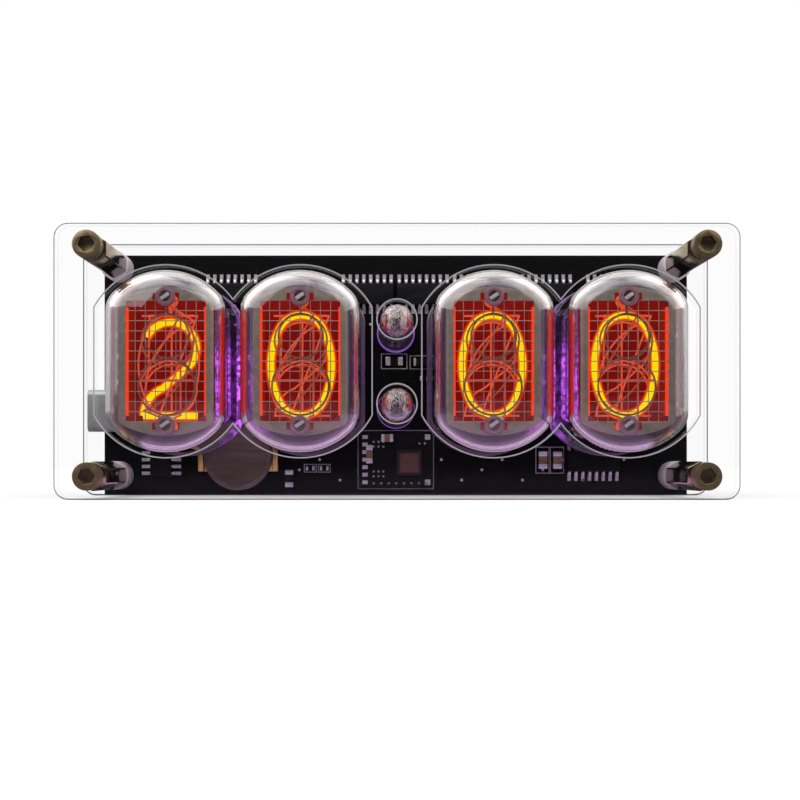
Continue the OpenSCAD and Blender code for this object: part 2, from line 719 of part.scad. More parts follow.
front_plate();
rear_plate();
circuit_board();
front_screws();
rear_screws();
hex_standoffs();
board_spacers();
rear_spacers();
for (i = [0 : 3]) {
  tube = str("tube_", i + 1, "_");
  tube_envelope(tube_x[i]);
  tube_base(tube_x[i]);
  tube_pins(tube_x[i]);
  tube_shield(tube_x[i]);
  tube_posts(tube_x[i]);
  tube_anode_mesh(tube_x[i]);
  tube_cathodes(tube_x[i], shown[i]);
  tube_lit_cathode(tube_x[i], shown[i]);
}
lamp_bulb(lamp_z[0]);  // upper_lamp_bulb
lamp_electrodes(lamp_z[0]);  // upper_lamp_electrodes
lamp_bulb(lamp_z[1]);  // lower_lamp_bulb
lamp_electrodes(lamp_z[1]);  // lower_lamp_electrodes
lamp_collars();
pin_receptacles();
backlights();
driver_chips();
interface_chip();
power_module();
ceramic_capacitors();
small_parts();
usb_shell();
usb_tongue();
coin_cell();
cell_holder();
switch_bodies();
button(button_x[0]);  // left_button
button(button_x[1]);  // middle_button
button(button_x[2]);  // right_button
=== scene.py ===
# %% [markdown]
# # A nixie tube clock
# Four end-view nixie tubes and two neon lamps stand on a black circuit board, between two clear
# acrylic plates. The construction comes in as a fixed frame in metres. This lesson adds what the
# eye sees: polished edges, real glass, a neon glow round the lit digits, and the small parts.

# %% Load the frame
import math
import bpy
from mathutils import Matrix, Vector


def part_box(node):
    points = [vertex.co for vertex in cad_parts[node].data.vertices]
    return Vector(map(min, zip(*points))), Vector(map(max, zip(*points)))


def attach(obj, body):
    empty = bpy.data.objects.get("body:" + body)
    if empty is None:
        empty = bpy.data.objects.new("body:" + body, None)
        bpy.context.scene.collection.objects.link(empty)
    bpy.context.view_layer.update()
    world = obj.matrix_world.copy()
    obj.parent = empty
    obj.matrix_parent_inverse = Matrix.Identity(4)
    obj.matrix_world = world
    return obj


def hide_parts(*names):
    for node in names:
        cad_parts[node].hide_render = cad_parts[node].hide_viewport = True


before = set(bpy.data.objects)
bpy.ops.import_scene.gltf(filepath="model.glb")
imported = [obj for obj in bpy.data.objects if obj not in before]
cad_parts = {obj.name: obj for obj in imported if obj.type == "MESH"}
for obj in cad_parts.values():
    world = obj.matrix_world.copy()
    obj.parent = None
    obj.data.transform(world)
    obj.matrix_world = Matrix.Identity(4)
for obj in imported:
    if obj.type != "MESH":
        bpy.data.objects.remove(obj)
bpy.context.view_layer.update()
MM = 0.001


def mm(*values):
    return [value * MM for value in values]


def span(node):
    """Lowest corner, highest corner and middle of a node of the frame, in metres."""
    low, high = (Vector(corner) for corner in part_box(node))
    return low, high, (low + high) / 2


front_face = span("front_plate")[0].y
board_face = span("circuit_board")[0].y
rear_face = span("rear_plate")[1].y
tube_names = [f"tube_{n}" for n in (1, 2, 3, 4)]
shown_digits = [2, 0, 0, 0]

# %% [markdown]
# ## Small tools
# Every operator works on what is selected, and loading the frame leaves all of it selected. So
# each piece starts from an empty selection. A finished piece sits at the origin, unturned and
# unscaled, with its place in its mesh, which is what `settle` does.

# %% Selecting, applying and finishing


def leave():
    bpy.ops.object.mode_set(mode="OBJECT")


def edit(obj=None, kind="FACE", chosen=None):
    """Enters edit mode with all selected, or only the faces or edges that chosen(part) accepts."""
    bpy.ops.object.mode_set(mode="EDIT")
    if not chosen:
        bpy.ops.mesh.select_all(action="SELECT")
        return
    bpy.ops.mesh.select_mode(type=kind)
    bpy.ops.mesh.select_all(action="DESELECT")
    leave()
    for part in obj.data.polygons if kind == "FACE" else obj.data.edges:
        part.select = chosen(part)
    bpy.ops.object.mode_set(mode="EDIT")


def only(*objs):
    """Selects these objects alone, or nothing, and makes the first one active."""
    if bpy.context.object and bpy.context.object.mode != "OBJECT":
        leave()
    bpy.ops.object.select_all(action="DESELECT")
    for obj in objs:
        obj.select_set(True)
        bpy.context.view_layer.objects.active = objs[0]


def settle(obj):
    only(obj)
    bpy.ops.object.transform_apply(location=True, rotation=True, scale=True)
    return obj


def modify(obj, kind, **settings):
    """Adds one modifier with these settings and applies it."""
    only(obj)
    mod = obj.modifiers.new(kind.title(), kind)
    for key, value in settings.items():
        setattr(mod, key, value)
    bpy.ops.object.modifier_apply(modifier=mod.name)
    return obj


def bevel(obj, width, segments=2, angle=40, clamp=True):
    return modify(obj, "BEVEL", width=width, segments=segments, limit_method="ANGLE",
                  angle_limit=math.radians(angle), use_clamp_overlap=clamp)


def smooth(obj, angle=40):
    only(obj)
    bpy.ops.object.shade_smooth_by_angle(angle=math.radians(angle))
    return obj


def join(objs):
    only(*objs)
    bpy.ops.object.join()
    return objs[0]


def copy_to(obj, shift):
    """A copy with its own mesh, moved by shift."""
    only(obj)
    bpy.ops.object.duplicate()
    new = bpy.context.object
    new.location += Vector(shift)
    return settle(new)


def cut(obj, *cutters, operation="DIFFERENCE"):
    for cutter in cutters:
        modify(obj, "BOOLEAN", object=cutter, operation=operation, solver="EXACT")
        bpy.data.objects.remove(cutter)
    return obj


def clean(obj, nearest=1e-7):
    """Merges doubles and turns every face outwards."""
    only(obj)
    edit()
    bpy.ops.mesh.remove_doubles(threshold=nearest)
    bpy.ops.mesh.normals_make_consistent(inside=False)
    leave()
    return obj


def dress(obj, *materials):
    for mat in materials:
        obj.data.materials.append(mat)
    return obj


def piece(obj, name, replaces=None, body="root"):
    """Names a finished piece, hangs it on its body and hides the node it replaces."""
    obj.name = obj.data.name = name
    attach(obj, body)
    if replaces:
        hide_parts(replaces)
    return obj


# %% [markdown]
# Nearly everything starts as a block, a round bar or a closed outline, raised backwards from a
# front depth, and is then bevelled, inset, cut or extruded further.

# %% Starting shapes


def block(low, high):
    only()
    low, high = Vector(low), Vector(high)
    bpy.ops.mesh.primitive_cube_add(size=1, location=(low + high) / 2)
    bpy.context.object.scale = high - low
    return settle(bpy.context.object)


def brick(x, z, w, h, y0, y1):
    """A block w wide and h high round (x, z), from y0 back to y1."""
    return block((x - w / 2, y0, z - h / 2), (x + w / 2, y1, z + h / 2))


def bar(x, z, y0, y1, diameter, sides=48):
    only()
    bpy.ops.mesh.primitive_cylinder_add(
        vertices=sides, radius=diameter / 2, depth=y1 - y0, location=(x, (y0 + y1) / 2, z),
        rotation=(math.pi / 2, 0, 0))
    return settle(bpy.context.object)


def loop(points):
    """A closed loop of edges through points (x, y, z)."""
    only()
    bpy.ops.mesh.primitive_circle_add(vertices=len(points), radius=MM, fill_type="NOTHING")
    obj = bpy.context.object
    for vertex, point in zip(obj.data.vertices, points):
        vertex.co = point
    return obj


def path_of(points):
    """A line of edges through the points: a loop without its closing edge."""
    obj = loop(points)
    closing = {len(points) - 1, 0}
    edit(obj, "EDGE", lambda edge: set(edge.vertices) == closing)
    bpy.ops.mesh.delete(type="EDGE")
    leave()
    return obj


def extrude(obj, shift):
    """Fills a closed loop with a face and extrudes it."""
    edit()
    bpy.ops.mesh.edge_face_add()
    bpy.ops.mesh.extrude_region_move(TRANSFORM_OT_translate={"value": shift})
    leave()
    return clean(obj)


def slab(points, y0, y1):
    """A flat plate with an outline of points (x, z), from y0 back to y1."""
    return extrude(loop([(x, y0, z) for x, z in points]), (0, y1 - y0, 0))


def wire(points, radius, closed):
    """A round wire through points: an edge path turned into a curve with a round bevel."""
    (loop if closed else path_of)(points)
    bpy.ops.object.convert(target="CURVE")
    curve = bpy.context.object.data
    curve.bevel_depth = radius
    curve.bevel_resolution = 3
    curve.use_fill_caps = not closed
    bpy.ops.object.convert(target="MESH")
    return clean(bpy.context.object)


def arc(cx, cz, r, start, end, steps):
    """Points (x, z) on an arc, with its angles in degrees."""
    turns = [math.radians(start + (end - start) * i / steps) for i in range(steps + 1)]
    return [(cx + r * math.cos(t), cz + r * math.sin(t)) for t in turns]


# %% [markdown]
# ## Camera
# The photograph looks straight at the clock from close by. All lines that run backwards meet in
# one point, a little left of the middle and close above the table, so the camera is low and the
# picture is shifted upwards.

# %% Camera
PICTURE, SENSOR, FOCAL = 800, 36, 1386
VANISHING_X, VANISHING_Y = 385, 465
camera_x, camera_z, camera_distance = mm(-2.0, 5.8, 231)

only()
bpy.ops.object.camera_add(location=(camera_x, front_face - camera_distance, camera_z),
                          rotation=(math.pi / 2, 0, 0))
camera = bpy.context.object
camera.data.sensor_width = SENSOR
camera.data.lens = SENSOR * FOCAL / PICTURE
camera.data.shift_x = (PICTURE / 2 - VANISHING_X) / PICTURE
camera.data.shift_y = (VANISHING_Y - PICTURE / 2) / PICTURE
camera.data.clip_start = 0.001
bpy.context.scene.camera = camera
print("lens, mm:", round(camera.data.lens, 1))

# %% [markdown]
# ## Materials
# One helper makes a Principled material. Values that are the same all over go straight onto the
# shader's sockets, and patterns read Object coordinates, so they stay put on the piece.

# %% Material helpers


def principled(mat):
    return mat.node_tree.nodes["Principled BSDF"]


def fill(owner, socket, value):
    """Links a socket to the output of another node, or gives it a plain value."""
    if isinstance(value, bpy.types.NodeSocket):
        owner.node_tree.links.new(value, socket)
    else:
        socket.default_value = value


def feed(mat, **sockets):
    """Fills sockets of a material's main shader."""
    for key, value in sockets.items():
        fill(mat, principled(mat).inputs[key.replace("_", " ")], value)


def material(name, colour, roughness=0.4, **sockets):
    mat = bpy.data.materials.new(name)
    mat.use_nodes = True
    mat.diffuse_color = (*colour, 1)
    feed(mat, Base_Color=(*colour, 1), Roughness=roughness, **sockets)
    return mat


def add(owner, kind, *values, **settings):
    """A node for a material or world: values fill its inputs in turn, settings go by name."""
    node = owner.node_tree.nodes.new("ShaderNode" + kind)
    for key, value in settings.items():
        label = key.replace("_", " ")
        if label in node.inputs:
            fill(owner, node.inputs[label], value)
        else:
            setattr(node, key, value)
    for socket, value in zip(node.inputs, values):
        fill(owner, socket, value)
    return node


def calculate(owner, operation, *values):
    return add(owner, "Math", *values, operation=operation).outputs[0]


def product(owner, a, b):
    return calculate(owner, "MULTIPLY", a, b)


def spread(owner, value, start, end, low, high):
    """A number that goes softly from low to high while value goes from start to end."""
    return add(owner, "MapRange", Value=value, From_Min=start, From_Max=end, To_Min=low,
               To_Max=high, interpolation_type="SMOOTHSTEP").outputs["Result"]


def coordinate(owner, axis, kind="Object"):
    where = add(owner, "TexCoord").outputs[kind]
    return add(owner, "SeparateXYZ", where).outputs[axis]


def along(mat, axis, start, end, low, high):
    """A number that goes from low to high between two places on an axis."""
    return spread(mat, coordinate(mat, axis), start, end, low, high)


def blend(owner, factor, a, b):
    """Goes from a to b, which are two numbers or two colours."""
    kind, first, result = ("RGBA", 6, 2) if isinstance(b, tuple) else ("FLOAT", 2, 0)
    mix = add(owner, "Mix", factor, data_type=kind)
    fill(owner, mix.inputs[first], a)
    fill(owner, mix.inputs[first + 1], b)
    return mix.outputs[result]


def show(mat, share, first, second):
    """Makes a mix of two shaders the surface of the material."""
    mix = add(mat, "MixShader", share, first, second)
    fill(mat, mat.node_tree.nodes["Material Output"].inputs["Surface"], mix.outputs[0])
    return mat


def relief(mat, kind, depth, rise=0.1 * MM, turn=(0, 0, 0), stretch=(1, 1, 1), **settings):
    """Bumps the surface by a texture on Object coordinates, and returns the texture's factor."""
    where = add(mat, "TexCoord").outputs["Object"]
    placed = add(mat, "Mapping", Vector=where, Rotation=turn, Scale=stretch).outputs[0]
    factor = add(mat, kind, Vector=placed, **settings).outputs["Fac"]
    bump = add(mat, "Bump", Height=factor, Strength=depth, Distance=rise)
    feed(mat, Normal=bump.outputs["Normal"])
    return factor


def grain(mat, scale, depth, **more):
    return relief(mat, "TexNoise", depth, Scale=scale, Detail=3, **more)


def vary(mat, factor, low, high):
    """Spreads the base colour between two colours by a factor."""
    ramp = add(mat, "ValToRGB", factor)
    for end, position, colour in zip(ramp.color_ramp.elements, (0.3, 0.7), (low, high)):
        end.position, end.color = position, (*colour, 1)
    feed(mat, Base_Color=ramp.outputs["Color"])
    return mat


# %% [markdown]
# Acrylic plates are so clear that only a faint gloss and their polished edges show. A mirror
# mixed into a transparent shader, more at a slant, does that without bending the view.

# %% Clear acrylic
SLANT_POWER, SLANT_GLOSS, FLAT_GLOSS = 4.0, 0.6, 0.012


def clear_acrylic():
    mat = material("polished_acrylic", (0.95, 0.96, 0.97), 0.03, Metallic=1)
    facing = add(mat, "LayerWeight", Blend=0.5).outputs["Facing"]
    slant = calculate(mat, "POWER", facing, SLANT_POWER)
    shine = calculate(mat, "MULTIPLY_ADD", slant, SLANT_GLOSS, FLAT_GLOSS)
    clear = add(mat, "BsdfTransparent", Color=(0.998, 0.998, 1.0, 1))
    return show(mat, shine, clear.outputs[0], principled(mat).outputs[0])


def edge_acrylic(name, colour, alpha, lit=0.0):
    """A polished edge, given a painted grey that stands in for the way the edge bends light. The
    rims of the slots also carry a painted glow for light from the tubes.
    """
    return material("acrylic_" + name, colour, 0.7, Alpha=alpha, Specular_IOR_Level=0.05,
                    Emission_Color=(0.95, 0.86, 0.95, 1), Emission_Strength=lit)


ACRYLIC = clear_acrylic()
# The edge materials are painted greys for the light at the edges, and the slot rims also glow.
ACRYLIC_WALL = edge_acrylic("wall", (0.80, 0.80, 0.82), 0.05)
ACRYLIC_RIM = edge_acrylic("rim", (0.10, 0.10, 0.11), 0.95)
ACRYLIC_SLOT_RIM = edge_acrylic("slot_rim", (0.12, 0.11, 0.12), 0.95, 0.27)
ACRYLIC_FAINT_RIM = edge_acrylic("faint_rim", (0.45, 0.45, 0.46), 0.12)

# %% [markdown]
# The metals: olive-brown nickel on the screws, tan nickel on the standoffs, bright tin on the
# legs and pads, gold on the contacts. Fine noise breaks up each reflection.

# %% Metals


def metal(name, colour, roughness, scale=900, stretch=(1, 1, 1), share=1.0):
    mat = material(name, colour, roughness, Metallic=share)
    factor = grain(mat, scale, 0.15, stretch=stretch)
    return vary(mat, factor, [0.75 * c for c in colour], colour)


SCREW = metal("screw_nickel", (0.40, 0.30, 0.17), 0.34)
# A darker metal used as painted shade in sockets and holes.
SOCKET_SHADE = metal("socket_painted_shade", (0.20, 0.15, 0.09), 0.3)
STANDOFF = metal("standoff_nickel", (0.46, 0.36, 0.24), 0.14, stretch=(1, 0.1, 1))
TIN = metal("tinned_copper", (0.66, 0.63, 0.68), 0.35, scale=2500, share=0.72)
GOLD = metal("gold_contact", (0.60, 0.45, 0.15), 0.3)
CELL = metal("cell_steel", (0.15, 0.125, 0.10), 0.4, scale=1500, stretch=(0.1, 1, 1), share=0.9)
SHELL = metal("socket_shell", (0.34, 0.35, 0.36), 0.4, share=0.6)
ELECTRODE = metal("lamp_electrode", (0.80, 0.66, 0.62), 0.3, share=0.5)
MESH_METAL = metal("mesh_nickel", (0.44, 0.27, 0.23), 0.5, share=0.85)
CATHODE = metal("cathode_nickel", (0.24, 0.12, 0.10), 0.5)
PLATE_METAL = metal("anode_plate", (0.30, 0.255, 0.20), 0.5)


def glow_along_y(mat, start, near, far, low, high):
    """An emission that changes between two depths behind start."""
    feed(mat, Emission_Strength=along(mat, "Y", start + near * MM, start + far * MM, low, high))


# Painted red glow on the unlit cathodes, stronger the further back they sit, standing in for the
# light of the lit digits.
feed(CATHODE, Emission_Color=(0.9, 0.08, 0.02, 1))
glow_along_y(CATHODE, span("tube_1_anode_mesh")[0].y, 1.0, 4.0, 0.04, 0.8)

# %% [markdown]
# The board's black lacquer shows its copper tracks only as faint ridges, so they are a bump made
# from a brick pattern.

# %% Plastics, ceramics and the board


def plastic(name, colour, roughness, gloss=0.25):
    mat = material(name, colour, roughness, Specular_IOR_Level=gloss)
    factor = grain(mat, 1200, 0.2)
    return vary(mat, factor, colour, [min(1, 1.25 * c + 0.001) for c in colour])


BOARD = material("board_lacquer", (0.003, 0.003, 0.0035), 0.4, Specular_IOR_Level=0.06)
relief(BOARD, "TexBrick", 0.35, turn=(math.pi / 2, 0, 0), Scale=260, Mortar_Size=0.06)
PRINT = plastic("white_print", (0.26, 0.25, 0.29), 0.6)
# The white nylon gets a lilac cast, painted purple light from the tube lights.
NYLON = material("white_nylon", (0.58, 0.51, 0.57), 0.45, Subsurface_Weight=0.3,
                 Subsurface_Scale=MM)
grain(NYLON, 700, 0.1)
COLLAR = plastic("collar_plastic", (0.012, 0.008, 0.016), 0.35)
# Painted purple glow for the collar rims.
COLLAR_GLOW_RIM = material("collar_painted_glow", (0.10, 0.05, 0.18), 0.4,
                       Emission_Color=(0.20, 0.08, 0.42, 1), Emission_Strength=0.7)
CHIP = plastic("chip_epoxy", (0.004, 0.004, 0.005), 0.5, gloss=0.1)
BLACK = plastic("black_plastic", (0.015, 0.015, 0.016), 0.5)
BUTTON = plastic("button_plastic", (0.03, 0.03, 0.032), 0.45)
FERRITE = plastic("ferrite", (0.085, 0.035, 0.03), 0.5)
MODULE = plastic("module_board", (0.004, 0.004, 0.005), 0.4, gloss=0.1)
BROWN_CERAMIC = plastic("capacitor_ceramic", (0.16, 0.09, 0.06), 0.45)
EYELET = plastic("eyelet_ceramic", (0.17, 0.085, 0.105), 0.4)
LED_BODY = plastic("led_body", (0.75, 0.72, 0.80), 0.4)

# %% [markdown]
# The tubes are real refracting glass, with a hint of lilac, and lamps shine straight through
# them. Purple lights sit under the tubes; the purple on the bases and the red on the shield and
# walls round the digits are painted glow.

# %% Glass and light


def glass(name, colour, gloss_colour, gloss_most, ripple=0.0):
    """Refracting glass, clear for lamps, whose rounded edges mirror the room more."""
    mat = material(name, colour, 0.0, Transmission_Weight=1.0, IOR=1.5)
    shadow = add(mat, "LightPath").outputs["Is Shadow Ray"]
    clear = add(mat, "BsdfTransparent").outputs[0]
    body = add(mat, "MixShader", shadow, principled(mat).outputs[0], clear).outputs[0]
    mirror = add(mat, "BsdfGlossy", Roughness=0.06, Color=(*gloss_colour, 1))
    if ripple:
        grain(mat, 1000, ripple, rise=0.6 * MM)
        wave = principled(mat).inputs["Normal"].links[0].from_socket
        fill(mat, mirror.inputs["Normal"], wave)
    facing = add(mat, "LayerWeight", Blend=0.5).outputs["Facing"]
    share = product(mat, spread(mat, facing, 0.06, 0.6, 0.0, gloss_most),
                    calculate(mat, "SUBTRACT", 1.0, shadow))
    return show(mat, share, body, mirror.outputs[0])


def light(name, colour, strength, alpha=1.0, base=(0, 0, 0), roughness=1.0):
    return material(name, base, roughness, Emission_Color=(*colour, 1),
                    Emission_Strength=strength, Alpha=alpha, Specular_IOR_Level=0.0)


# A wall whose red is painted glow, an emission for the light of the lit digits.
def painted_glow_wall(name, colour, strength, base=(0.16, 0.008, 0.005)):
    return light(name, colour, strength, base=base, roughness=0.5)


GAP_X, FOOT_Z = mm(27.35, 20)


def painted_glow_foot():
    """Dark lilac glass with a painted purple glow that stands in for light from the tube lights.
    The glow is patchy and strongest in the gaps between two tubes.
    """
    mat = material("base_glass", (0.06, 0.04, 0.07), 0.25, Emission_Color=(0.46, 0.08, 0.80, 1))

    def away(value, place):
        return calculate(mat, "ABSOLUTE", calculate(mat, "SUBTRACT", value, place))

    patches = spread(mat, grain(mat, 1100, 0.3), 0.46, 0.60, 0.10, 1.0)
    off_gap = away(calculate(mat, "ABSOLUTE", coordinate(mat, "X")), GAP_X)
    near = spread(mat, off_gap, 1.5 * MM, 6.0 * MM, 2.2, 0.06)
    low_down = spread(mat, away(coordinate(mat, "Z"), FOOT_Z), 4 * MM, 11 * MM, 1.0, 0.15)
    feed(mat, Emission_Strength=product(mat, product(mat, near, low_down), patches))
    return mat


TUBE_GLASS = glass("tube_glass", (0.97, 0.95, 0.98), (0.92, 0.87, 0.82), 0.52)
LAMP_GLASS = glass("lamp_glass", (0.95, 0.90, 0.92), (0.80, 0.66, 0.66), 0.40, ripple=0.6)
BASE_GLASS = painted_glow_foot()
GLOW_CORE = light("neon_core", (1.0, 0.72, 0.0), 1.1)
GLOW_INNER = light("neon_inner_halo", (1.0, 0.12, 0.0), 1.0, 0.7)
GLOW_OUTER = light("neon_outer_halo", (0.9, 0.02, 0.0), 0.8, 0.35)
LED_LIGHT = light("led_purple", (0.42, 0.10, 1.0), 5.0)
# Shield and walls carry painted red glow, brightest at the front of the walls.
SHIELD = painted_glow_wall("shield_painted_glow", (0.62, 0.008, 0.003), 0.13, base=(0.16, 0.006, 0.004))
grain(SHIELD, 400, 0.2)
SIDE_WALL = painted_glow_wall("side_wall_painted_glow", (1.0, 0.055, 0.012), 1.0)
grain(SIDE_WALL, 300, 0.2)
glow_along_y(SIDE_WALL, span("tube_1_shield")[0].y, 0.4, 1.6, 0.95, 0.12)
OUTER_WALL = painted_glow_wall("outer_wall_painted_glow", (1.0, 0.02, 0.008), 0.7)

# %% [markdown]
# ## Clear plates
# A plate is a rounded outline raised to its thickness, with its openings cut out as by a laser.
# A narrow bevel gives each edge a thin painted line, standing in for the way polished acrylic
# bends light at its edge: its faces are found by their slanted normals and given the rim material.

# %% Front and rear plates
corner_r, slot_w, slot_h, slot_r = mm(2.4, 23.8, 32.0, 13.6)
lamp_hole_d, screw_hole_d, button_hole_d = mm(6.5, 2.7, 3.66)
head_d, head_t = mm(4.7, 2.5)


def rounded_outline(low, high, r, steps=8):
    corners = [(high.x - r, high.z - r, 0), (low.x + r, high.z - r, 90),
               (low.x + r, low.z + r, 180), (high.x - r, low.z + r, 270)]
    return [p for x, z, a in corners for p in arc(x, z, r, a, a + 90, steps)]


def slot_outline(x, z, steps=28):
    """Straight sides and a wide arc at top and bottom."""
    side = math.degrees(math.acos(slot_w / 2 / slot_r))
    shift = slot_h / 2 - slot_r
    return (arc(x, z + shift, slot_r, side, 180 - side, steps)
            + arc(x, z - shift, slot_r, 180 + side, 360 - side, steps))


def make_plate(node, holes, slots, rim_width, margin):
    """A plate with round holes (x, z, d) and slots. Rims inside the margin are slot rims."""
    low, high, _ = span(node)
    plate = slab(rounded_outline(low, high, corner_r), low.y, high.y)
    y0, y1 = low.y - 2 * MM, high.y + 2 * MM
    cutters = [bar(x, z, y0, y1, d, 64) for x, z, d in holes]
    cut(plate, *cutters, *[slab(slot_outline(x, z), y0, y1) for x, z in slots])
    bevel(plate, rim_width, segments=1, angle=60, clamp=False)
    dress(plate, ACRYLIC, ACRYLIC_WALL, ACRYLIC_RIM, ACRYLIC_SLOT_RIM, ACRYLIC_FAINT_RIM)
    # Walls and bevel faces get the painted edge greys: dark front rims and faint back rims.
    for face in plate.data.polygons:
        lean = abs(face.normal.y)
        if lean < 0.2:
            face.material_index = 1
        elif lean < 0.9 and face.normal.y > 0:
            face.material_index = 4
        elif lean < 0.9:
            x, z = face.center.x, face.center.z
            inside = abs(x) < high.x - margin and low.z + margin < z < high.z - margin
            face.material_index = 3 if inside else 2
    piece(smooth(plate, 30), node + "_acrylic", node)
    print(node, len(plate.data.polygons), "faces")


def place_of(node):
    return span(node)[2].x, span(node)[2].z


screw_low, screw_high, _ = span("front_screws")
screw_places = [(x, z) for x in (screw_low.x + head_d / 2, screw_high.x - head_d / 2)
                for z in (screw_low.z + head_d / 2, screw_high.z - head_d / 2)]
lamp_places = [place_of(f"{n}_lamp_bulb") for n in ("upper", "lower")]
tube_places = [place_of(tube + "_envelope") for tube in tube_names]
button_sides = ("left", "middle", "right")
button_places = [place_of(side + "_button") for side in button_sides]

screw_holes = [(x, z, screw_hole_d) for x, z in screw_places]
make_plate("front_plate", screw_holes + [(x, z, lamp_hole_d) for x, z in lamp_places],
           tube_places, 0.20 * MM, margin=4 * MM)
make_plate("rear_plate", screw_holes + [(x, z, button_hole_d) for x, z in button_places],
           [], 0.28 * MM, margin=1)

# %% [markdown]
# ## Screws, standoffs and spacers
# A cap screw's head is a short bevelled bar. Its knurling is a ring of narrow faces pressed in,
# and its hex socket is cut with a six-sided slab; the walls and floor of the socket get painted
# shade.

# %% Cap screws
socket_af, socket_deep, thread_d = mm(2.5, 1.3, 2.5)
socket_turn, knurls = 10, 48


def cap_screw(x, z, seat, way, end):
    """A screw from seat to end, with its head in front (way is -1) or behind (1)."""
    top = seat + way * head_t
    head = bar(x, z, *sorted((seat, top)), head_d, 2 * knurls)
    sides = [face.index for face in head.data.polygons if abs(face.normal.y) < 0.5]
    pressed = set(sides[::2])
    edit(head, "FACE", lambda face: face.index in pressed)
    bpy.ops.mesh.inset(thickness=0.012 * MM, depth=-0.07 * MM, use_individual=True)
    leave()
    hexagon = arc(x, z, socket_af / math.sqrt(3), socket_turn, socket_turn + 300, 5)
    cut(head, slab(hexagon, *sorted((top - way * socket_deep, top + way * MM))))
    dress(bevel(head, 0.16 * MM, 3, 60), SCREW, SOCKET_SHADE)
    # The socket's walls and floor take the darker material: painted shade in the recess.
    for face in head.data.polygons:
        away = math.hypot(face.center.x - x, face.center.z - z)
        if away < 0.6 * socket_af and abs(face.center.y - top) > 0.3 * MM:
            face.material_index = 1
    shank = bar(x, z, *sorted((seat, end)), thread_d, 32)
    return smooth(join([head, dress(shank, SCREW)]), 35)


for side, seat, way, end in (("front", front_face, -1, screw_high.y),
                             ("rear", rear_face, 1, span("rear_screws")[0].y)):
    screws = join([cap_screw(x, z, seat, way, end) for x, z in screw_places])
    piece(screws, side + "_cap_screws", side + "_screws")

# %% [markdown]
# A standoff is a six-sided bar, and its common part with a slightly thinner round bar has the
# turned corners of the real one. The spacers are short nylon pipes.

# %% Standoffs and spacers
standoff_af, spacer_d = mm(4.5, 5.2)


def hex_standoff(x, z):
    low, high, _ = span("hex_standoffs")
    body = bevel(bar(x, z, low.y, high.y, standoff_af * 2 / math.sqrt(3), 6), 0.08 * MM)
    y0, y1 = low.y - MM, high.y + MM
    cut(body, bar(x, z, y0, y1, standoff_af * 1.12, 96), operation="INTERSECT")
    cut(body, bar(x, z, y0, y1, thread_d, 32))
    return smooth(body, 25)


def round_spacer(x, z, node):
    low, high, _ = span(node)
    pipe = bar(x, z, low.y, high.y, spacer_d, 64)
    cut(pipe, bar(x, z, low.y - MM, high.y + MM, screw_hole_d, 32))
    return smooth(bevel(pipe, 0.25 * MM, 3, 60))


standoffs = join([hex_standoff(x, z) for x, z in screw_places])
piece(dress(standoffs, STANDOFF), "standoffs", "hex_standoffs")
for node in ("board_spacers", "rear_spacers"):
    spacers = join([round_spacer(x, z, node) for x, z in screw_places])
    piece(dress(spacers, NYLON), node + "_nylon", node)

# %% [markdown]
# ## Tube glass
# The envelope is a narrow oval, flat left and right. A face with that outline is extruded
# forwards in steps and drawn in at the front, the back is opened, and Solidify thickens the wall.

# %% Envelopes
low, high, _ = span("tube_1_envelope")
glass_w, glass_h = high.x - low.x, high.z - low.z
glass_wall, front_edge_r, front_dome, cap_r, glass_corner = mm(0.9, 3.6, 0.6, 12.2, 4.0)


def lozenge(half_w, half_h, cap, r, steps=10):
    """Straight sides, a wide arc at top and bottom, and rounded corners."""
    flank, rise = half_w - r, half_h - cap
    side = math.degrees(math.acos(flank / (cap - r)))
    corner_z = rise + (cap - r) * math.sin(math.radians(side))
    top = (arc(flank, corner_z, r, 0, side, steps // 2)
           + arc(0, rise, cap, side, 180 - side, 2 * steps)[1:-1]
           + arc(-flank, corner_z, r, 180 - side, 180, steps // 2))
    return top + [(-x, -z) for x, z in top]


def loft(rings, x, z):
    """Skins a stack of (inset, y) rings, each extruded from the one before."""
    inset, y = rings[0]
    oval = lozenge(glass_w / 2 - inset, glass_h / 2 - inset, cap_r - inset, glass_corner - inset)
    obj = loop([(x + px, y, z + pz) for px, pz in oval])
    edit()
    bpy.ops.mesh.edge_face_add()
    for (a, y0), (b, y1) in zip(rings, rings[1:]):
        bpy.ops.mesh.extrude_region_move(TRANSFORM_OT_translate={"value": (0, y1 - y0, 0)})
        wide = (glass_w / 2 - b) / (glass_w / 2 - a)
        tall = (glass_h / 2 - b) / (glass_h / 2 - a)
        bpy.ops.transform.resize(value=(wide, 1, tall), center_override=(x, y1, z))
    return clean(obj)


def envelope_rings(low_y, high_y):
    """From the back rim forwards, round the front edge and over the shallow dome."""
    rings = [(0, high_y - 0.3 * MM * k) for k in (0, 1, 2)]
    shoulder = low_y + front_dome + front_edge_r
    rings += [(0, high_y + (shoulder - high_y) * t) for t in (0.25, 0.5, 0.75, 1)]
    for k in range(1, 9):
        t = math.radians(90 * k / 9)
        rings.append((front_edge_r * (1 - math.cos(t)), shoulder - front_edge_r * math.sin(t)))
    for inset in (4.6, 6.0, 7.6, 9.0):
        part = (inset * MM - front_edge_r) / (glass_w / 2 - front_edge_r)
        rings.append((inset * MM, low_y + front_dome * (1 - part) ** 2))
    return rings


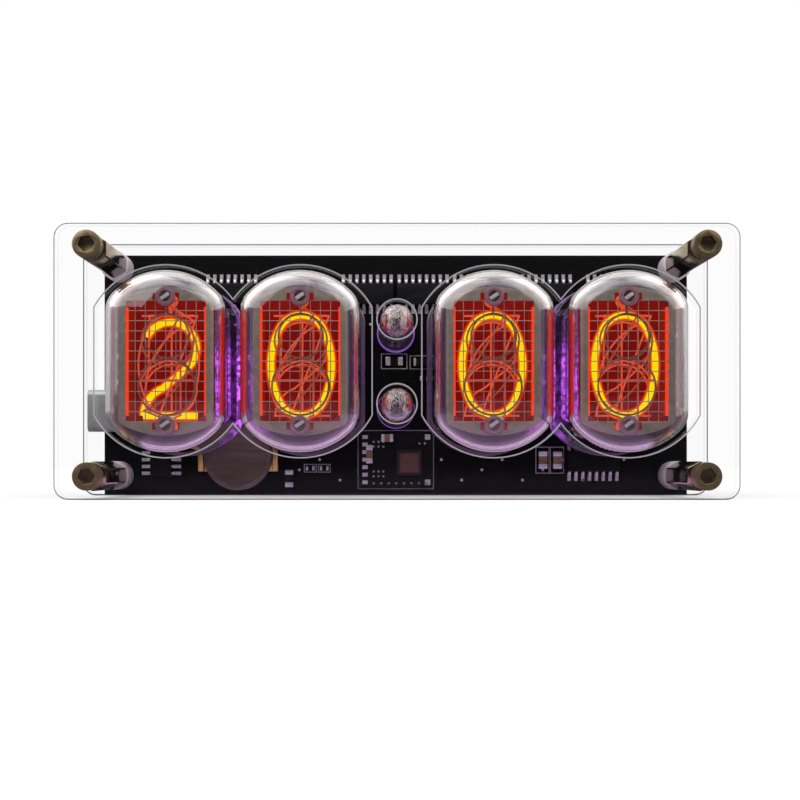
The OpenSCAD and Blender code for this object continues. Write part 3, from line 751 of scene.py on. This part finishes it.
for tube in tube_names:
    low, high, centre = span(tube + "_envelope")
    obj = loft(envelope_rings(low.y, high.y), centre.x, centre.z)
    edit(obj, "FACE", lambda face: face.normal.y > 0.9)
    bpy.ops.mesh.delete(type="ONLY_FACE")
    leave()
    modify(obj, "SOLIDIFY", thickness=glass_wall, offset=-1)
    piece(dress(smooth(obj, 60), TUBE_GLASS), tube + "_glass", tube + "_envelope")
print("glass faces:", len(obj.data.polygons))

# %% [markdown]
# ## Tube insides
# Behind the glass an oval metal plate carries a square mesh over its window: a grid that the
# Wireframe modifier turns into thin wires. Ceramic eyelets with a tab hold the plate.

# %% Anode plate, mesh and eyelets
mesh_cols, mesh_rows, mesh_pitch = 8, 12, 1.68 * MM
mesh_wire, mesh_thick, mesh_flat = 0.2 * MM, 0.15 * MM, 0.6
anode_cap_r, anode_corner_r = mm(15.7, 1.2)
notch, notch_x, notch_gap = mm(1.2, 1.65, 0.1)
wide, tall = mesh_cols * mesh_pitch, mesh_rows * mesh_pitch


def metal_oval(low, high, centre):
    edge = lozenge((high.x - low.x) / 2, (high.z - low.z) / 2, anode_cap_r, anode_corner_r)
    return [(centre.x + x, centre.z + z) for x, z in edge]


def make_mesh(tube):
    low, high, centre = span(tube + "_anode_mesh")
    edge = [(x, low.y, z) for x, z in metal_oval(low, high, centre)]
    plate = extrude(loop(edge), (0, mesh_thick, 0))
    y0, y1 = low.y - MM, low.y + MM
    window = [brick(centre.x, centre.z, wide, tall, y0, y1)]
    for sx, sz in ((-1, -1), (-1, 1), (1, -1), (1, 1)):
        x, z = centre.x + sx * notch_x, centre.z + sz * (tall / 2 + notch_gap + notch / 2)
        window.append(brick(x, z, notch, notch, y0, y1))
    cut(plate, *window)
    only()
    middle = (centre.x, low.y + mesh_thick / 2, centre.z)
    bpy.ops.mesh.primitive_grid_add(x_subdivisions=mesh_cols, y_subdivisions=mesh_rows, size=1,
                                    location=middle, rotation=(math.pi / 2, 0, 0))
    grid = bpy.context.object
    grid.scale = (wide, tall, 1)
    settle(grid)
    modify(grid, "WIREFRAME", thickness=mesh_wire, use_boundary=True, use_even_offset=False)
    edit()
    bpy.ops.transform.resize(value=(1, mesh_flat, 1), center_override=middle)
    leave()
    both = join([dress(plate, PLATE_METAL), dress(grid, MESH_METAL)])
    piece(both, tube + "_mesh", tube + "_anode_mesh")


eyelet_in, eyelet_d, eyelet_t = mm(1.65, 3.3, 0.6)


def make_eyelets(tube):
    """Two ceramic rings on the plate, the posts behind them and a bent strip over each."""
    low, high, centre = span(tube + "_posts")
    x = centre.x
    top_z, foot_z = high.z - eyelet_in, low.z + eyelet_in
    parts = []
    for z in (top_z, foot_z):
        ring = bar(x, z, low.y, low.y + eyelet_t, eyelet_d, 40)
        cut(ring, bar(x, z, low.y - MM, low.y + 0.45 * MM, 1.8 * MM, 32))
        sleeve = bar(x, z, low.y + eyelet_t, high.y, 1.6 * MM, 24)
        # A dark disc down in each ring's hole is painted shade.
        hole_shade = bar(x, z, low.y + 0.3 * MM, low.y + 0.44 * MM, 1.7 * MM, 24)
        parts += [dress(smooth(bevel(ring, 0.15 * MM, 3, 50)), EYELET),
                  dress(smooth(bevel(sleeve, 0.12 * MM, 2, 50)), EYELET),
                  dress(smooth(hole_shade), SOCKET_SHADE)]
    for z, shift, reach in ((top_z, 0, 0.8), (low.z + 1.95 * MM, 0.4, 1.3)):
        tab = brick(x + shift * MM, z, 2 * reach * MM, 0.6 * MM,
                    low.y + 0.02 * MM, low.y + 0.12 * MM)
        edit()
        bpy.ops.transform.rotate(value=math.radians(35), orient_axis="Y",
                                 center_override=(x, low.y, z))
        leave()
        parts.append(bevel(dress(tab, TIN), 0.04 * MM))
    piece(join(parts), tube + "_eyelets", tube + "_posts")


shield_t, side_wall_t, side_wall_half = mm(0.3, 0.4, 9.05)


def make_shield(tube):
    """The back plate and, beside the digits, two walls, all with a painted red glow that stands in
    for the light of the lit digits, most of it on the walls.
    """
    low, high, centre = span(tube + "_shield")
    plate = slab(metal_oval(low, high, centre), high.y - shield_t, high.y)
    parts = [dress(bevel(plate, 0.06 * MM, 2, 60), SHIELD)]
    for side in (-1, 1):
        x = centre.x + side * (wide / 2 - side_wall_t / 2)
        wall = brick(x, centre.z, side_wall_t, 2 * side_wall_half, low.y, high.y - shield_t)
        dress(bevel(wall, 0.08 * MM), SIDE_WALL, OUTER_WALL)
        for face in wall.data.polygons:
            face.material_index = int(face.normal.x * side > 0.5)
        parts.append(wall)
    piece(join(parts), tube + "_shield_walls", tube + "_shield")


for tube in tube_names:
    make_mesh(tube)
    make_eyelets(tube)
    make_shield(tube)

# %% [markdown]
# ## Lit digits
# A lit cathode glows in the gas close round its wire. So the wire's path is bevelled three times:
# a yellow core and two wider, fainter red halos, all flat enough for the digits beside them.

# %% Paths of the shown digits
digit_v, digit_drop = mm(8.45, 0.45)
zero_half, two_half, two_dip = mm(5.1, 4.6, 1.0)
glow_layers = (("core", 0.66, 0.48, GLOW_CORE), ("inner", 0.82, 0.28, GLOW_INNER),
               ("outer", 1.05, 0.15, GLOW_OUTER))


def zero_path(steps=14):
    """Four arcs: small ones at top and bottom and wide ones for the sides."""
    end_r = 0.8 * zero_half
    e = digit_v - end_r
    s = (e ** 2 - (zero_half - end_r) ** 2) / (2 * (zero_half - end_r))
    a = math.degrees(math.atan2(e, s))
    arcs = ((-s, 0, zero_half + s, -a, a), (0, e, end_r, a, 180 - a),
            (s, 0, zero_half + s, 180 - a, 180 + a), (0, -e, end_r, 180 + a, 360 - a))
    return [point for values in arcs for point in arc(*values, steps)[:-1]]


def two_paths(steps=18):
    """The hook with its neck, and the foot bar."""
    top_r = 0.96 * two_half
    upper = arc(0, digit_v - two_dip - top_r, top_r, 155, -45, steps)
    lower = arc(0.1 * two_half, -digit_v, 1.08 * two_half, 110, 180, steps // 2)
    foot = [(two_half * t / 4, -digit_v) for t in range(-4, 5)]
    return [upper + lower, foot]


def make_glow(tube, digit):
    low, high, _ = span(tube + "_lit_cathode")
    whole = span(tube + "_envelope")[2]
    y = (low.y + high.y) / 2
    for name, radius, flat, mat in glow_layers:
        wires = [wire([(whole.x + x, y, whole.z - digit_drop + z) for x, z in path],
                      radius * MM, digit == 0)
                 for path in ([zero_path()] if digit == 0 else two_paths())]
        glow = join(wires)
        edit()
        bpy.ops.transform.resize(value=(1, flat, 1), center_override=(whole.x, y, whole.z))
        leave()
        piece(dress(smooth(glow, 60), mat), f"{tube}_glow_{name}",
              tube + "_lit_cathode" if name == "core" else None)


for tube, digit in zip(tube_names, shown_digits):
    make_glow(tube, digit)
print("shown:", shown_digits)

# %% [markdown]
# ## Tube bases
# The moulded glass base sits in the open end of the envelope and is a little wider than it. It
# has a painted purple glow for the light from below, most of all in the gaps between two tubes.

# %% Bases
base_out, base_bevel, base_in = mm(-0.5, 0.25, 1.2)
for tube in tube_names:
    low, high, centre = span(tube + "_base")
    rings = [(base_out + base_bevel, high.y), (base_out, high.y - base_bevel),
             (base_out, low.y + base_bevel), (base_out + base_bevel, low.y), (base_in, low.y)]
    base = smooth(loft(rings, centre.x, centre.z))
    piece(dress(base, BASE_GLASS), tube + "_foot", tube + "_base")

# %% [markdown]
# ## Neon lamps
# A lamp is a long glass thimble with a drawn tip over two silvery plates. It is spun from one
# profile round its own axis, front to back.

# %% Lamp bulbs
bulb_profile = [(0.0005, 0), (0.10, 0.02), (0.30, 0.07), (0.60, 0.22), (0.82, 0.45), (0.95, 0.75),
                (1, 1.15)]
bulb_wall, lead_pitch = mm(0.45, 2.54)
electrode_w, electrode_h, electrode_l, lead_d = mm(0.6, 2.6, 7, 0.5)


def make_bulb(name):
    low, high, centre = span(name + "_lamp_bulb")
    r, x, z = centre.x - low.x, centre.x, centre.z
    points = [(x + r * a, low.y + r * b, z) for a, b in bulb_profile]
    strip = path_of(points + [(x + r, high.y, z)])
    edit()
    bpy.ops.mesh.spin(steps=48, angle=2 * math.pi, center=(x, 0, z), axis=(0, 1, 0))
    modify(clean(strip, 2e-6), "SOLIDIFY", thickness=bulb_wall, offset=-1)
    dress(smooth(clean(strip), 60), LAMP_GLASS)
    piece(strip, name + "_bulb_glass", name + "_lamp_bulb")


def make_electrodes(name):
    """Two plates with rounded ends, side by side, on thin leads."""
    low, high, centre = span(name + "_lamp_electrodes")
    parts = []
    for side in (-1, 1):
        x, end = centre.x + side * lead_pitch / 2, low.y + electrode_l
        plate = brick(x, centre.z, electrode_w, electrode_h, low.y, end)
        parts += [smooth(bevel(plate, 0.2 * MM, 3, 50)),
                  smooth(bar(x, centre.z, end, high.y, lead_d, 16))]
    piece(dress(join(parts), ELECTRODE), name + "_electrode_pair",
          name + "_lamp_electrodes")


for name in ("upper", "lower"):
    make_bulb(name)
    make_electrodes(name)

# %% [markdown]
# ## Circuit board
# The board is a plain slab with fine edges. On its lacquer lie small vias and white print, each
# a very thin slab standing a few hundredths of a millimetre off the face.

# %% Board, vias and print
film = 0.03 * MM
chip_places = [mm(x, 37.6) for x in (-43, -30.5, -17.9, -5.3, 5.1, 15.4, 28, 40.2)]
chip_places.append(mm(36.7, 6.5))
outlines = ((-0.3, 25.1, 4.9, 2.9), (4.8, 24.9, 4.4, 2.6), (27.3, 6.7, 2.6, 5.0),
            (30, 6.7, 2.6, 5.0), (0, 6.8, 14.2, 11.0), (-15.9, 5.2, 2.4, 1.6),
            (-13.3, 5.2, 2.4, 1.6))

low, high, _ = span("circuit_board")
board = block(low, high)
cut(board, *[bar(x, z, low.y - MM, high.y + MM, screw_hole_d, 48) for x, z in screw_places])
smooth(bevel(board, 0.08 * MM, 1, 60))
piece(dress(board, BOARD), "board_slab", "circuit_board")


def patch(x, z, w, h, lift=0.0):
    """A thin rectangle on the front of the board."""
    return brick(x, z, w, h, board_face - film - lift, board_face - lift)


def faces_front(face):
    return face.normal.y < -0.5


def frame_lines(x, z, w, h, line=0.16 * MM):
    """A printed rectangle, made by insetting a patch and keeping its border."""
    obj = patch(x, z, w, h)
    edit(obj, "FACE", faces_front)
    bpy.ops.mesh.inset(thickness=line)
    bpy.ops.mesh.delete(type="FACE")
    leave()
    return obj


prints = [frame_lines(*mm(*sizes)) for sizes in outlines]
prints += [patch(*mm(x, 35, 0.5, 0.5)) for x in (-48.5, -36.0, -23.4, -10.8, 9.0, 22.0, 34.4)]
piece(dress(join(prints), PRINT), "board_print")

# Taken places (x, half width, height): cell, module, upright chip and the screws.
taken = ((-29.2, 9, 15), (0, 8, 13), (-43.4, 4.5, 14), (-51, 5, 40), (51, 5, 40))
vias = []
first = bar(0, 0, board_face - film, board_face, 0.5 * MM, 12)
for k in range(54):
    x = -50 + 100 * ((k * 37) % 54) / 53
    z = 3.0 + 1.9 * ((k * 5) % 3) if k % 2 else 32.0 + 1.2 * ((k * 7) % 3)
    if not any(abs(x - place) < half and z < height for place, half, height in taken):
        vias.append(copy_to(first, mm(x, 0, z)))
bpy.data.objects.remove(first)
piece(dress(join(vias), TIN), "board_vias")
print("vias:", len(vias))

# %% [markdown]
# ## Chips
# One chip is modelled in full: a moulded body with drafted sides and a dimple, and sixteen bent
# legs on solder pads. Each leg is a profile in side view, extruded to its width.

# %% One chip, copied along the board
chip_l, chip_w, chip_t, chip_lift = mm(9.9, 3.9, 1.5, 0.15)
leg_pitch, leg_w = mm(1.27, 0.42)
leg_profile = [(-0.75, 0), (-0.75, 0.55), (-0.68, 0.65), (-0.2, 0.72), (-0.2, 1.05), (0, 1.05),
               (0, 0.6), (-0.08, 0.52), (-0.55, 0.45), (-0.55, 0)]


def make_leg(x, way):
    """One gull-wing leg in side view, from the body's flank down to its foot."""
    return extrude(loop([(x - leg_w / 2, board_face + dy * MM, way * (chip_w / 2 + dz * MM))
                         for dy, dz in leg_profile]), (leg_w, 0, 0))


def make_chip():
    top = board_face - chip_lift - chip_t
    body = brick(0, 0, chip_l, chip_w, top, board_face - chip_lift)
    edit(body, "FACE", faces_front)
    bpy.ops.transform.resize(value=(0.975, 1, 0.94), center_override=(0, board_face, 0))
    leave()
    cut(body, bar(-chip_l / 2 + 0.9 * MM, -chip_w / 2 + 0.9 * MM, top - MM, top + 0.1 * MM,
                  0.8 * MM, 24))
    parts = [dress(bevel(body, 0.06 * MM), CHIP)]
    x = -3.5 * leg_pitch
    for way in (-1, 1):
        leg = dress(make_leg(x, way), TIN)
        pad = patch(x, way * (chip_w / 2 + 0.95 * MM), 0.62 * MM, 1.5 * MM)
        pair = join([leg, dress(pad, TIN)])
        parts.append(pair)
        parts += [copy_to(pair, (k * leg_pitch, 0, 0)) for k in range(1, 8)]
    return join(parts)


first_chip = make_chip()
drivers = join([copy_to(first_chip, (x, 0, z)) for x, z in chip_places])
piece(smooth(drivers), "driver_chips_moulded", "driver_chips")
first_chip.rotation_euler = (0, math.pi / 2, 0)
first_chip.location = (-43.6 * MM, 0, 8.7 * MM)
settle(first_chip)
piece(smooth(first_chip), "interface_chip_moulded", "interface_chip")

# %% [markdown]
# ## Power module and small parts
# A capacitor or resistor is a block with wrapped, tinned ends. The power module is a small board
# with pads down its left side, a ferrite coil and a few parts.

# %% Blocks with tinned ends
small_sizes = ((-0.3, 25.1, 3.2, 1.6, 0.6), (5.3, 21.9, 1.6, 0.8, 0.5),
               (-15.9, 5.2, 1.6, 0.8, 0.5), (-13.3, 5.2, 1.6, 0.8, 0.5),
               (-19.8, 3.3, 1.5, 3.2, 0.9))


def two_ended(x, z, w, h, t, body_mat, lift=0.0, cap=0.28):
    """A part with metal caps, each a share of its length, at both ends of its longer side."""
    y = board_face - lift
    low, high = Vector((x - w / 2, y - t, z - h / 2)), Vector((x + w / 2, y, z + h / 2))
    body = block(low + Vector(mm(0.02, 0.03, 0.02)), high - Vector(mm(0.02, 0, 0.02)))
    rest = (1 - cap) * Vector((w, 0, 0) if w >= h else (0, 0, h))
    ends = [block(low, high - rest), block(low + rest, high)]
    return join([dress(body, body_mat)]
                + [dress(bevel(end, 0.08 * MM), TIN) for end in ends])


capacitors = [two_ended(*mm(x, 6.7, 1.6, 3.2, 1.2), BROWN_CERAMIC) for x in (27.3, 30)]
piece(smooth(join(capacitors)), "tinned_capacitors", "ceramic_capacitors")

small = [two_ended(*mm(*sizes), CHIP) for sizes in small_sizes]
small.append(two_ended(*mm(4.8, 24.9, 3.0, 1.4, 1.1), CHIP, cap=0.16))
piece(smooth(join(small)), "tinned_small_parts", "small_parts")

# %% Power module
module_w, module_h, module_z, module_t = mm(13.4, 10.2, 6.8, 0.8)
module_top = board_face - module_t
specks = ([(x, z) for x in (-4.1, -3.2, -2.3) for z in (3.3, 2.4, -2.2, -3.1)]
          + [(-4.1 + 1.4 * k, -4.4) for k in range(8)] + [(x, 3.0) for x in (4.4, 5.4)])
marks = ([(-5.7, -4.2 + 1.4 * k, 1.0, 0.7, TIN) for k in range(7)]
         + [(5.9, z, 1.0, 1.0, TIN) for z in (-4.2, 4.2)]
         + [(x, z, 0.35, 0.35, PRINT) for x, z in specks])
parts = [dress(brick(0, module_z, module_w, module_h, module_top, board_face), MODULE)]
for x, z, w, h, mat in marks:
    mark = patch(x * MM, module_z + z * MM, w * MM, h * MM, lift=module_t)
    parts.append(dress(mark, mat))
for w, t, edge, mat in ((4.6, 0.5, (0.1 * MM, 2, 40), BLACK),
                        (3.6, 1.8, (0.3 * MM, 3, 60), FERRITE)):
    part = brick(2.5 * MM, module_z - 0.6 * MM, w * MM, w * MM, module_top - t * MM, module_top)
    parts.append(dress(bevel(part, *edge), mat))
for x, z, w, h, t in ((-1.6, 10.8, 2.2, 1.4, 1.2), (-4.9, 7.8, 1.2, 3.4, 0.8)):
    parts.append(two_ended(*mm(x, z, w, h, t), BROWN_CERAMIC, lift=module_t))
piece(smooth(join(parts)), "power_module_parts", "power_module")

# %% [markdown]
# ## Lights and collars
# Under each tube sits a square light with a round lens. The collars under the lamps are dark
# plastic, and their rims carry a painted purple glow for the light of the tube lights.

# %% Backlights and lamp collars
light_w, lens_d = mm(5, 3.9)
collar_d, collar_hole_d, collar_rim_r = mm(7, 0.6, 3.2)

low, high, _ = span("backlights")
for tube, (x, z) in zip(tube_names, tube_places):
    body = brick(x, z, light_w, light_w, low.y, high.y)
    cut(body, bar(x, z, low.y - MM, low.y + 0.4 * MM, 4 * MM, 48))
    dress(bevel(body, 0.1 * MM, 2, 60), LED_BODY)
    lens = smooth(bar(x, z, low.y + 0.3 * MM, low.y + 0.45 * MM, lens_d, 48))
    piece(join([body, dress(lens, LED_LIGHT)]), tube + "_light",
          "backlights" if tube == "tube_1" else None)

low, high, _ = span("lamp_collars")
collars = []
for x, z in lamp_places:
    ring = bar(x, z, low.y, high.y, collar_d, 64)
    for side in (-1, 1):
        cut(ring, bar(x + side * lead_pitch / 2, z, low.y - MM, high.y + MM, collar_hole_d, 16))
    dress(bevel(ring, 0.25 * MM, 3, 60), COLLAR, COLLAR_GLOW_RIM)
    # Faces outside the rim radius get the painted purple glow.
    for face in ring.data.polygons:
        off = math.hypot(face.center.x - x, face.center.z - z)
        face.material_index = int(off > collar_rim_r)
    collars.append(ring)
piece(smooth(join(collars)), "collar_rings", "lamp_collars")

# %% [markdown]
# ## Coin cell, socket and buttons
# The cell's can has a rounded rim and a slightly sunken lid. The socket is a pressed steel shell
# with rounded corners. The buttons sit in square switches with a metal cover behind the board.

# %% Coin cell and holder
cell_d, lid_d, can_d, sunk = mm(12.5, 10.4, 9.6, 0.12)
strip_t, arm_w = 0.4 * MM, MM

low, high, centre = span("coin_cell")
cell = bar(centre.x, centre.z, low.y, high.y, cell_d, 96)
cut(cell, bar(centre.x, centre.z, low.y - MM, low.y + sunk, lid_d, 96),
    bar(centre.x, centre.z, high.y - sunk, high.y + MM, can_d, 96))
bevel(cell, 0.1 * MM, 3, 60)
piece(dress(smooth(cell), CELL), "coin_cell_can", "coin_cell")

low, high, _ = span("cell_holder")
holder = [bevel(block((low.x, high.y - strip_t, low.z), high), 0.08 * MM)]
for x0, x1 in ((low.x, low.x + arm_w), (high.x - arm_w, high.x)):
    arm = block((x0, low.y, low.z), (x1, high.y - strip_t, high.z))
    holder.append(bevel(arm, 0.15 * MM))
piece(dress(smooth(join(holder)), GOLD), "cell_holder_gold", "cell_holder")

# %% Socket for the lead
shell_wall, shell_r, hollow_r = mm(0.35, 1.1, 0.8)


def rounded_block(low, high, r):
    """A block whose edges along X are rounded."""
    obj = block(low, high)

    def runs_along_x(edge):
        a, b = (obj.data.vertices[i].co for i in edge.vertices)
        return abs(a.x - b.x) > MM

    edit(obj, "EDGE", runs_along_x)
    bpy.ops.mesh.bevel(offset=r, segments=6)
    leave()
    return obj


low, high, _ = span("usb_shell")
shell = rounded_block(low, high, shell_r)
cut(shell, rounded_block((low.x - MM, low.y + shell_wall, low.z + shell_wall),
                         high - Vector([shell_wall] * 3), hollow_r))
bevel(shell, 0.05 * MM, 2, 60)
piece(dress(smooth(shell), SHELL), "socket_shell", "usb_shell")

low, high, _ = span("usb_tongue")
contacts = [dress(bevel(block(low, high), 0.06 * MM), BLACK)]
for k in range(8):
    z = low.z + (0.4 + 0.53 * k) * MM
    strip = block((low.x + 0.3 * MM, low.y, z),
                  (low.x + 3.0 * MM, low.y + 0.1 * MM, z + 0.25 * MM))
    contacts.append(dress(strip, GOLD))
piece(smooth(join(contacts)), "socket_tongue", "usb_tongue")

# %% Switches and buttons
switch_w, cover_t, switch_floor = mm(6, 0.3, 1.2)
low, high, _ = span("switch_bodies")
bodies = []
for x, z in button_places:
    for y0, y1, mat, edge in ((low.y, high.y - cover_t, BLACK, 0.15 * MM),
                              (high.y - cover_t, high.y, SHELL, 0.06 * MM)):
        part = brick(x, z, switch_w, switch_w, y0, y1)
        cut(part, bar(x, z, low.y + switch_floor, high.y + MM, button_hole_d, 48))
        bodies.append(bevel(dress(part, mat), edge))
piece(smooth(join(bodies)), "switch_cases", "switch_bodies")

for side in button_sides:
    low, high, centre = span(side + "_button")
    key = bar(centre.x, centre.z, low.y, high.y, 3.5 * MM, 64)
    smooth(bevel(key, 0.35 * MM, 4, 60))
    piece(dress(key, BUTTON), side + "_button_cap", side + "_button",
          body=side + "_key")

# %% [markdown]
# ## Pieces kept from the construction
# The pins, unlit cathodes and receptacles are already their final shape, so they only
# get their materials here.

# %% Materials on kept pieces
kept = [(tube + end, mat) for tube in tube_names for end, mat in (("_pins", TIN),
                                                                  ("_cathodes", CATHODE))]
for node, mat in kept + [("pin_receptacles", GOLD)]:
    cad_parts[node].data.materials.clear()
    dress(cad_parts[node], mat)
print("kept:", len(kept) + 1)

# %% [markdown]
# ## Table and light
# The clock stands on a pale table in front of white. The world is white to the camera, and
# softer as a lamp, so the whites don't burn out.

# %% Table
TABLE_GLOW, TABLE_SHARE = 1.05, 0.3
WHITE, PALE = (1, 1, 1, 1), (0.92, 0.92, 0.92, 1)
PAINTED_LILAC_REFLECTION, GLASS_DIM = (0.66, 0.44, 0.76, 1), (0.10, 0.09, 0.11, 1)
only()
bpy.ops.mesh.primitive_plane_add(size=4, location=(0, 0, 0))
table = bpy.context.object
table.name = "table"
TABLE = material("pale_table", PALE[:3], 0.8)
dress(table, TABLE)


def whiten_for_camera(mat):
    """White with a soft shadow near the clock to the camera, dim in glass, and lilac in mirrors
    under the tubes alone, a painted reflection of the purple tube lights, so that plates and
    screws stay free of it."""
    path = add(mat, "LightPath").outputs
    camera, glossy = path["Is Camera Ray"], path["Is Glossy Ray"]
    plain = calculate(mat, "MAXIMUM", camera, path["Is Diffuse Ray"])
    feed(mat, Base_Color=blend(mat, plain, GLASS_DIM, PALE))
    # The lilac is painted light: an emission seen only in mirrors under the tubes, standing in for
    # the purple tube lights.
    painted_glow_colour = blend(mat, camera, PAINTED_LILAC_REFLECTION, WHITE)
    flat = add(mat, "Emission", Color=painted_glow_colour, Strength=TABLE_GLOW).outputs[0]
    where = add(mat, "TexCoord").outputs["Object"]
    distance = add(mat, "VectorMath", where, operation="LENGTH").outputs["Value"]
    far = spread(mat, distance, 55 * MM, 160 * MM, TABLE_SHARE, 1.0)
    across = product(mat, along(mat, "X", 46 * MM, 50 * MM, 1.0, 0.0),
                     along(mat, "X", -50 * MM, -46 * MM, 0.0, 1.0))
    under = product(mat, across, spread(mat, distance, 60 * MM, 80 * MM, 1.0, 0.0))
    share = calculate(mat, "MAXIMUM", product(mat, camera, far), product(mat, glossy, under))
    show(mat, share, principled(mat).outputs[0], flat)


whiten_for_camera(TABLE)

# %% [markdown]
# As in a dark studio, mirrors see a bright ceiling and back, a dim front, and a tall narrow
# light on either side, which draws an upright streak on the glass. Three soft panels, upper
# left, upper right and in front, draw the long highlights.

# %% World and lamps
SKY_DIFFUSE, SKY_FRONT, SKY_SIDE = 0.30, 0.03, 0.9
STRIP, STRIP_X, STRIP_HALF = 0.7, 0.80, 0.06
world = bpy.context.scene.world or bpy.data.worlds.new("white")
bpy.context.scene.world = world
world.use_nodes = True
sky = world.node_tree.nodes["Background"]
sky.inputs["Color"].default_value = WHITE

sky_x, sky_y, sky_z = (coordinate(world, axis, "Generated") for axis in "XYZ")
height = calculate(world, "MULTIPLY_ADD", sky_y, 0.5, sky_z)
shade = spread(world, height, 0.0, 0.45, SKY_FRONT, SKY_SIDE)
strip = calculate(world, "COMPARE", calculate(world, "ABSOLUTE", sky_x), STRIP_X, STRIP_HALF)
mirrored = calculate(world, "MAXIMUM", shade, product(world, strip, STRIP))
path = add(world, "LightPath").outputs
soft = blend(world, path["Is Diffuse Ray"], mirrored, SKY_DIFFUSE)
fill(world, sky.inputs["Strength"], blend(world, path["Is Camera Ray"], soft, 1.0))

for name, place, size, power in (("panel_left", (-0.26, -0.16, 0.36), (0.70, 0.50), 1.9),
                                 ("panel_right", (0.30, -0.14, 0.32), (0.50, 0.44), 1.1),
                                 ("panel_front", (0.0, -0.40, 0.42), (0.60, 0.24), 0.8)):
    only()
    bpy.ops.object.light_add(type="AREA", location=place)
    lamp = bpy.context.object
    lamp.name = name
    lamp.data.shape = "RECTANGLE"
    lamp.data.size, lamp.data.size_y = size
    lamp.data.energy = power
    aim = Vector((0, 0, 20 * MM)) - Vector(place)
    lamp.rotation_euler = aim.to_track_quat("-Z", "Y").to_euler()

bpy.context.scene.view_settings.view_transform = "Standard"
